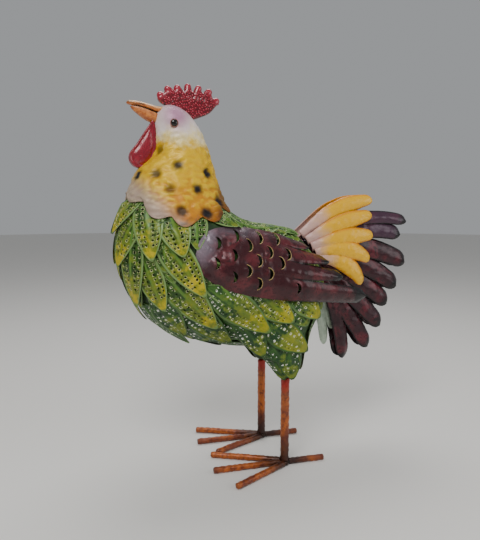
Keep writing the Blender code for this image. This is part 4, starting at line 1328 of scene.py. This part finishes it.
def feather(name, key, side, path, half, dome, tuck, taper, sheet, light):
    """One domed feather with a rounded end: tuck tilts its upper edge under the next one."""
    ends = [place(x, side * y, z) for x, y, z in path]
    outward = Vector((0, side or -1, 0))
    steps, lanes, bend = 46, 12, 0.9
    rows, across, along = [], [], []
    for i in range(steps + 1):
        t = i / steps
        t = t if t < bend else bend + (1 - bend) * math.sin((t - bend) / (1 - bend) * math.pi / 2)
        run = bezier(*ends, min(1.0, t + 0.01)) - bezier(*ends, max(0.0, t - 0.01))
        up = outward.cross(run).normalized()
        if up.z < 0:
            up = -up
        wide = (0.5 + 0.5 * ease(0.0, 0.5, t)) * (1 - taper * ease(0.6, 1.0, t))
        wide *= math.sqrt(max(0.0, 1 - max(0.0, (t - bend) / (1 - bend)) ** 2))
        line = []
        for k in range(lanes + 1):
            c = 2 * k / lanes - 1
            lift = dome * (1 - c * c) * min(1.0, wide * 1.2) - tuck * c * min(1.0, 3 * t)
            p = bezier(*ends, t) + up * c * half * wide * UNIT
            grain = hammer_marks(p, 8.0, 0.9, 8.3) - 0.45 * UNIT
            line.append(p + outward * (lift * UNIT + grain))
            across.append(c)
            along.append(t)
        rows.append(line)
    item = lattice(name, rows, PAINTS[key], across=across, along=along,
                   light=[light] * len(along))
    clean_sheet(item, outward, 0.05, 0.02)
    return walled(item, sheet)


def build_tail(settings):
    """Sickle tail: eight maroon feathers a side, yellow fingers outside, sage ones below."""
    for side, word in SIDES:
        parts = []
        for n, (root, knee, tip) in enumerate(TAIL_FEATHERS):
            lift = 0.8 * (n % 2)
            path = root, (knee[0], knee[1] + lift, knee[2]), (tip[0], tip[1] + lift, tip[2])
            parts.append(feather("tail_feather", "tail", side, path, TAIL_HALVES[n],
                                 3.6, 1.8, 0.14, settings.sheet, 0.9 if n < 2 else 0.0))
        hand_over(merged(word + "_tail_feathers", parts, PAINTS["tail"]),
                  "wing_maroon_paint", word + "_tail_fan")
        parts = [feather("yellow_feather", "finger", side, path, 11.4, 3.2, 1.2, 0.4,
                         settings.sheet, white)
                 for path, white in zip(YELLOW_FEATHERS, FINGER_ROOTS)]
        hand_over(merged(word + "_yellow_fingers", parts, PAINTS["finger"]),
                  "tail_yellow_paint", word + "_yellow_fan")
    parts = [feather("undertail_feather", "sage", 0, path, 8.0, 1.2, 0.0, 0.3,
                     settings.sheet * 1.4, 0.0) for path in UNDERTAIL_FEATHERS]
    hand_over(merged("undertail_fingers", parts, PAINTS["sage"]), "undertail_grey_green_paint",
              "undertail_fan")


def bar(name, start, end, radius, depth, soot_at):
    """A hammered round bar with slightly blunted ends."""
    length = (end - start).length
    aim = (end - start).normalized()
    side = aim.orthogonal().normalized()
    up = aim.cross(side)
    steps = max(8, int(length / (1.4 * UNIT)))
    blunt = radius * 0.35
    stations = [0.0, blunt * 0.3, blunt]
    stations += [blunt + (length - 2 * blunt) * i / steps for i in range(1, steps)]
    stations += [length - blunt, length - blunt * 0.3, length]
    rows, soot = [], []
    for s in stations:
        near = min(1.0, min(s, length - s) / blunt)
        shrink = blunt * (1 - math.sqrt(max(0.0, 1 - (1 - near) ** 2)))
        row = []
        for a in circle(28):
            out = side * math.cos(a) + up * math.sin(a)
            p = start + aim * s + out * (radius - shrink)
            p += out * (hammer_marks(p, 6.0, depth / UNIT, 2.2) - depth * 0.8)
            row.append(p)
            soot.append(soot_at(p))
        rows.append(row)
    return lattice(name, rows, PAINTS["rod"], closed=True, ends=(start, end), soot=soot)


def build_toes(settings, side, word, hub):
    """Four rods that lie on the ground and meet at the hub under the leg."""
    thick = settings.toe_size / 2
    for toe, forward, out in (("middle_toe", True, 0), ("inner_toe", True, -side),
                              ("outer_toe", True, side), ("back_toe", False, 0)):
        low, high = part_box("%s_%s" % (word, toe))
        near_x, far_x = (high.x, low.x) if forward else (low.x, high.x)
        near_y, far_y = low.y + thick * 0.8, high.y - thick * 0.8
        if out < 0:
            near_y, far_y = far_y, near_y
        elif not out:
            near_y, far_y = hub.y, low.y + high.y - hub.y
        start = Vector((near_x, near_y, thick))
        end = Vector((far_x, far_y, thick))
        aim = (end - start).normalized()
        if not out:
            start = hub + aim * (start - hub).dot(aim)
            start.z = thick
        item = bar("%s_%s_rod" % (word, toe), start, end, thick, settings.rod_marks,
                   lambda p: 0.85 * ease(0.046, 0.012, (p - hub).length)
                   + 0.35 * ease(0.006, 0.001, (p - end).length))
        hand_over(item, "leg_rust_paint", "%s_%s" % (word, toe))


def build_legs(settings):
    """Hammered rod legs that stand on welded toes."""
    radius = settings.leg_size / 2
    for side, word in SIDES:
        low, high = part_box(word + "_leg")
        x, y = (low.x + high.x) / 2, (low.y + high.y) / 2
        hub = Vector((x, y, 4.0 * UNIT))
        leg = bar(word + "_leg_rod", Vector((x, y, low.z)), Vector((x, y, high.z)), radius,
                  settings.rod_marks, lambda p: 0.85 * ease(0.050, 0.012, p.z))
        hand_over(leg, "leg_rust_paint", word + "_leg")
        build_toes(settings, side, word, hub)
        chance = random.Random(settings.seed + (side > 0))
        welds = []
        for turn in (0.4, 1.5, 2.5, 3.7, 4.7, 5.7):
            spot = hub + Vector((math.cos(turn), math.sin(turn), 0)) * radius * 0.95
            spot.z += chance.uniform(0.2, 1.6) * UNIT
            size = chance.uniform(2.4, 3.3) * UNIT
            rows = []
            for i in range(1, 8):
                bend = math.pi * i / 8
                row = []
                for a in circle(16):
                    out = Vector((math.sin(bend) * math.cos(a), math.sin(bend) * math.sin(a),
                                  math.cos(bend)))
                    wobble = 1 + 0.25 * noise.noise(out * 2 + Vector((turn, 0, 0)))
                    row.append(spot + out * size * wobble)
                rows.append(row)
            welds.append(lattice("weld", rows, PAINTS["weld"], closed=True,
                                 ends=(spot + Vector((0, 0, size)), spot - Vector((0, 0, size)))))
        weld = fused(merged(word + "_foot_weld", welds, PAINTS["weld"]), 0.8, 2)
        for vert in weld.data.vertices:
            vert.co.z = max(vert.co.z, 0.3 * UNIT)
        hand_over(weld, "leg_rust_paint")


def studio_floor():
    """Matt painted board: an even pale ground with no gloss of its own."""
    material = bpy.data.materials.new("pale_studio_floor")
    material.use_nodes = True
    shader = material.node_tree.nodes["Principled BSDF"]
    shader.inputs["Base Color"].default_value = linear("#E4E1DC")
    shader.inputs["Roughness"].default_value = 0.85
    return material


def build_stage(settings):
    """Pale floor, soft lights, plain backdrop and the camera of the photo."""
    floor = new_piece("studio_floor", [], [], studio_floor())
    with editing(floor) as bm:
        bmesh.ops.create_circle(bm, cap_ends=True, radius=settings.floor_radius, segments=128)
    world = bpy.context.scene.world = bpy.data.worlds.new("pale_backdrop")
    world.use_nodes = True
    shade = world.node_tree.nodes["Background"]
    shade.inputs["Color"].default_value = linear("#DCDFE2")
    shade.inputs["Strength"].default_value = settings.backdrop
    for name, spot, size, share in SOFTBOXES:
        light = bpy.data.lights.new(name, "AREA")
        light.shape = "DISK"
        light.size = size
        light.energy = settings.key_power * share
        lamp = in_scene(name, light)
        lamp.location = spot
        aim = Vector((0, 0, 0.25)) - lamp.location
        lamp.rotation_euler = aim.to_track_quat("-Z", "Y").to_euler()
    lens = bpy.data.cameras.new("photo_view")
    lens.sensor_width = 36.0
    lens.lens = settings.focal * 1000
    camera = bpy.context.scene.camera = in_scene("photo_view", lens)
    camera.location = CAMERA_PLACE
    aim = Vector(CAMERA_AIM).normalized()
    aim.z = -math.tan(math.radians(CAMERA_TILT))
    camera.rotation_euler = aim.to_track_quat("-Z", "Y").to_euler()


# Sizes: key, name, description, default, least and greatest value in metres
SIZES = (
    ("sheet", "Sheet thickness", "Thickness of the painted steel sheet", 0.001, 0.0004, 0.003),
    ("hammer_depth", "Hammer depth", "Depth of the soft hammer marks on the body",
     0.0005, 0.0, 0.003),
    ("quilt", "Neck quilting", "Height of the soft cushions of the neck sheet",
     0.0014, 0.0, 0.004),
    ("hole", "Punched hole", "Diameter of the holes punched in the leaves",
     0.0026, 0.001, 0.004),
    ("tip_lift", "Leaf tip lift", "How far a leaf's point stands off the body",
     0.006, 0.0, 0.012),
    ("bump_spacing", "Comb bump spacing", "Least distance between the comb's bumps",
     0.0025, 0.001, 0.01),
    ("bump_radius", "Comb bump radius", "Radius of the comb's bumps", 0.0011, 0.0005, 0.005),
    ("slot_height", "Crescent height", "Height of a crescent punched in the wing",
     0.0135, 0.004, 0.03),
    ("slot_reach", "Crescent reach", "How far a crescent bulges to the rear",
     0.0072, 0.002, 0.02),
    ("slot_opening", "Crescent opening", "Widest opening of a crescent", 0.0048, 0.001, 0.01),
    ("lip", "Lip", "Radius of the rolled lip of a crescent and of the eye ring",
     0.00048, 0.0002, 0.001),
    ("rod_marks", "Rod marks", "Depth of the hammer marks on legs and toes",
     0.0006, 0.0, 0.002),
    ("leg_size", "Leg diameter", "Thickness of the leg rods", 0.0112, 0.005, 0.02),
    ("toe_size", "Toe diameter", "Thickness of the toe rods", 0.008, 0.004, 0.015),
    ("floor_radius", "Floor radius", "Radius of the studio floor", 6.0, 1.0, 20.0),
    ("focal", "Focal length", "Focal length of the photo's lens", 0.03533, 0.01, 0.2),
)
# Colours: key, name, description and sRGB default
COLOURS = (
    ("leaf_green", "Leaf green", "Fresh green brushed on the leaves", "#4E7420"),
    ("belly_green", "Belly green", "Darker green of the lower leaves", "#335E22"),
    # The leaf edge colour is partly a painted highlight.
    ("leaf_rim", "Leaf edge", "Pale green of the raised leaf edges", "#7C9A58"),
    ("leaf_yellow", "Leaf yellow", "Yellow dusted on the leaf ends", "#C7B20E"),
    ("neck_yellow", "Neck yellow", "Yellow of the neck", "#DDB200"),
    ("neck_orange", "Neck orange", "Orange streaks of the neck", "#C26A00"),
    ("throat", "Throat", "Grey-beige of the lower throat", "#AC9C92"),
    ("face", "Face", "Pinkish white of the face", "#EADDD6"),
    ("blush", "Blush", "Purple around the eye", "#963C7A"),
    ("eye", "Eye", "Black of the eye", "#060404"),
    ("eye_ring", "Eye ring", "Ring around the eye", "#9A6A60"),
    ("comb", "Comb", "Crimson of comb and wattles", "#AC1E36"),
    ("beak", "Beak", "Orange of the beak", "#CE7C34"),
    ("wing_maroon", "Wing maroon", "Maroon of the wing", "#5E2026"),
    # The wing shoulder colour is a painted highlight.
    ("wing_shoulder", "Wing shoulder highlight", "Painted lilac-grey highlight on the wing's front", "#948894"),
    # The lip gold is partly a painted highlight.
    ("lip", "Crescent lip", "Gold along the punched crescents", "#B49A5E"),
    ("tail_maroon", "Tail maroon", "Maroon of the tail", "#5E1824"),
    ("yellow_finger", "Yellow feathers", "Yellow of the outer tail feathers", "#E8B000"),
    ("sage", "Sage feathers", "Grey-green of the feathers below the tail", "#B6C4B0"),
    ("rod", "Legs", "Rust orange of legs and toes", "#B8601E"),
)


class RoosterSettings(bpy.types.PropertyGroup):
    """Sizes of the figure's details, seed and light."""

    __annotations__ = {
        key: FloatProperty(name=name, description=text, default=size, min=low, max=high, **LENGTH)
        for key, name, text, size, low, high in SIZES}
    seed: IntProperty(
        name="Seed", description="Start value of every random choice", default=7, min=0)
    key_power: FloatProperty(
        name="Key light", description="Power of the main softbox", default=14.0, min=0.0,
        unit="POWER")
    backdrop: FloatProperty(
        name="Backdrop", description="Brightness of the plain backdrop", default=0.46, min=0.0)


class RoosterColours(bpy.types.PropertyGroup):
    """Paints of the figure."""

    __annotations__ = {
        key: FloatVectorProperty(name=name, description=text, default=linear(code), **COLOUR)
        for key, name, text, code in COLOURS}


class ROOSTER_OT_paints(bpy.types.Operator):
    """Mix the paints from the chosen colours"""
    bl_idname = "rooster.paints"
    bl_label = "Paints"

    def execute(self, context):
        mix_paints()
        return {"FINISHED"}


class ROOSTER_OT_body(bpy.types.Operator):
    """Build the hollow hammered body"""
    bl_idname = "rooster.body"
    bl_label = "Body"

    def execute(self, context):
        build_body(context.scene.rooster)
        return {"FINISHED"}


class ROOSTER_OT_leaves(bpy.types.Operator):
    """Lay the punched leaf feathers on the body"""
    bl_idname = "rooster.leaves"
    bl_label = "Leaf feathers"

    def execute(self, context):
        build_leaves(context.scene.rooster)
        return {"FINISHED"}


class ROOSTER_OT_hood(bpy.types.Operator):
    """Build the embossed neck and head"""
    bl_idname = "rooster.hood"
    bl_label = "Neck and head"

    def execute(self, context):
        build_hood(context.scene.rooster)
        return {"FINISHED"}


class ROOSTER_OT_face(bpy.types.Operator):
    """Build comb, wattles, beak and eyes"""
    bl_idname = "rooster.face"
    bl_label = "Comb, wattles, beak and eyes"

    def execute(self, context):
        build_comb(context.scene.rooster)
        build_wattles(context.scene.rooster)
        build_beak(context.scene.rooster)
        build_eyes(context.scene.rooster)
        return {"FINISHED"}


class ROOSTER_OT_wings(bpy.types.Operator):
    """Build both wings with their punched crescents"""
    bl_idname = "rooster.wings"
    bl_label = "Wings"

    def execute(self, context):
        build_wings(context.scene.rooster)
        return {"FINISHED"}


class ROOSTER_OT_tail(bpy.types.Operator):
    """Build the tail feathers"""
    bl_idname = "rooster.tail"
    bl_label = "Tail"

    def execute(self, context):
        build_tail(context.scene.rooster)
        return {"FINISHED"}


class ROOSTER_OT_legs(bpy.types.Operator):
    """Build legs, toes and their welds"""
    bl_idname = "rooster.legs"
    bl_label = "Legs and toes"

    def execute(self, context):
        build_legs(context.scene.rooster)
        return {"FINISHED"}


class ROOSTER_OT_stage(bpy.types.Operator):
    """Set up floor, light and camera"""
    bl_idname = "rooster.stage"
    bl_label = "Studio"

    def execute(self, context):
        build_stage(context.scene.rooster)
        return {"FINISHED"}


class ROOSTER_PT_panel(bpy.types.Panel):
    """Lists the steps and the sizes"""
    bl_label = "Garden rooster"
    bl_idname = "ROOSTER_PT_panel"
    bl_space_type = "VIEW_3D"
    bl_region_type = "UI"
    bl_category = "Garden rooster"

    def draw(self, context):
        settings = context.scene.rooster
        for name in RoosterSettings.__annotations__:
            self.layout.prop(settings, name)
        for name in RoosterColours.__annotations__:
            self.layout.prop(context.scene.rooster_colours, name)
        for step in STEPS:
            self.layout.operator(step.bl_idname)


STEPS = (ROOSTER_OT_paints, ROOSTER_OT_body, ROOSTER_OT_leaves, ROOSTER_OT_hood,
         ROOSTER_OT_face, ROOSTER_OT_wings, ROOSTER_OT_tail, ROOSTER_OT_legs,
         ROOSTER_OT_stage)
CLASSES = (RoosterSettings, RoosterColours) + STEPS + (ROOSTER_PT_panel,)


def register():
    for kind in CLASSES:
        bpy.utils.register_class(kind)
    bpy.types.Scene.rooster = PointerProperty(type=RoosterSettings)
    bpy.types.Scene.rooster_colours = PointerProperty(type=RoosterColours)


def unregister():
    del bpy.types.Scene.rooster
    del bpy.types.Scene.rooster_colours
    for kind in reversed(CLASSES):
        bpy.utils.unregister_class(kind)


def main():
    register()
    bpy.ops.rooster.paints()
    bpy.ops.rooster.body()
    bpy.ops.rooster.leaves()
    bpy.ops.rooster.hood()
    bpy.ops.rooster.face()
    bpy.ops.rooster.wings()
    bpy.ops.rooster.tail()
    bpy.ops.rooster.legs()
    bpy.ops.rooster.stage()


if __name__ == "__main__":
    main()
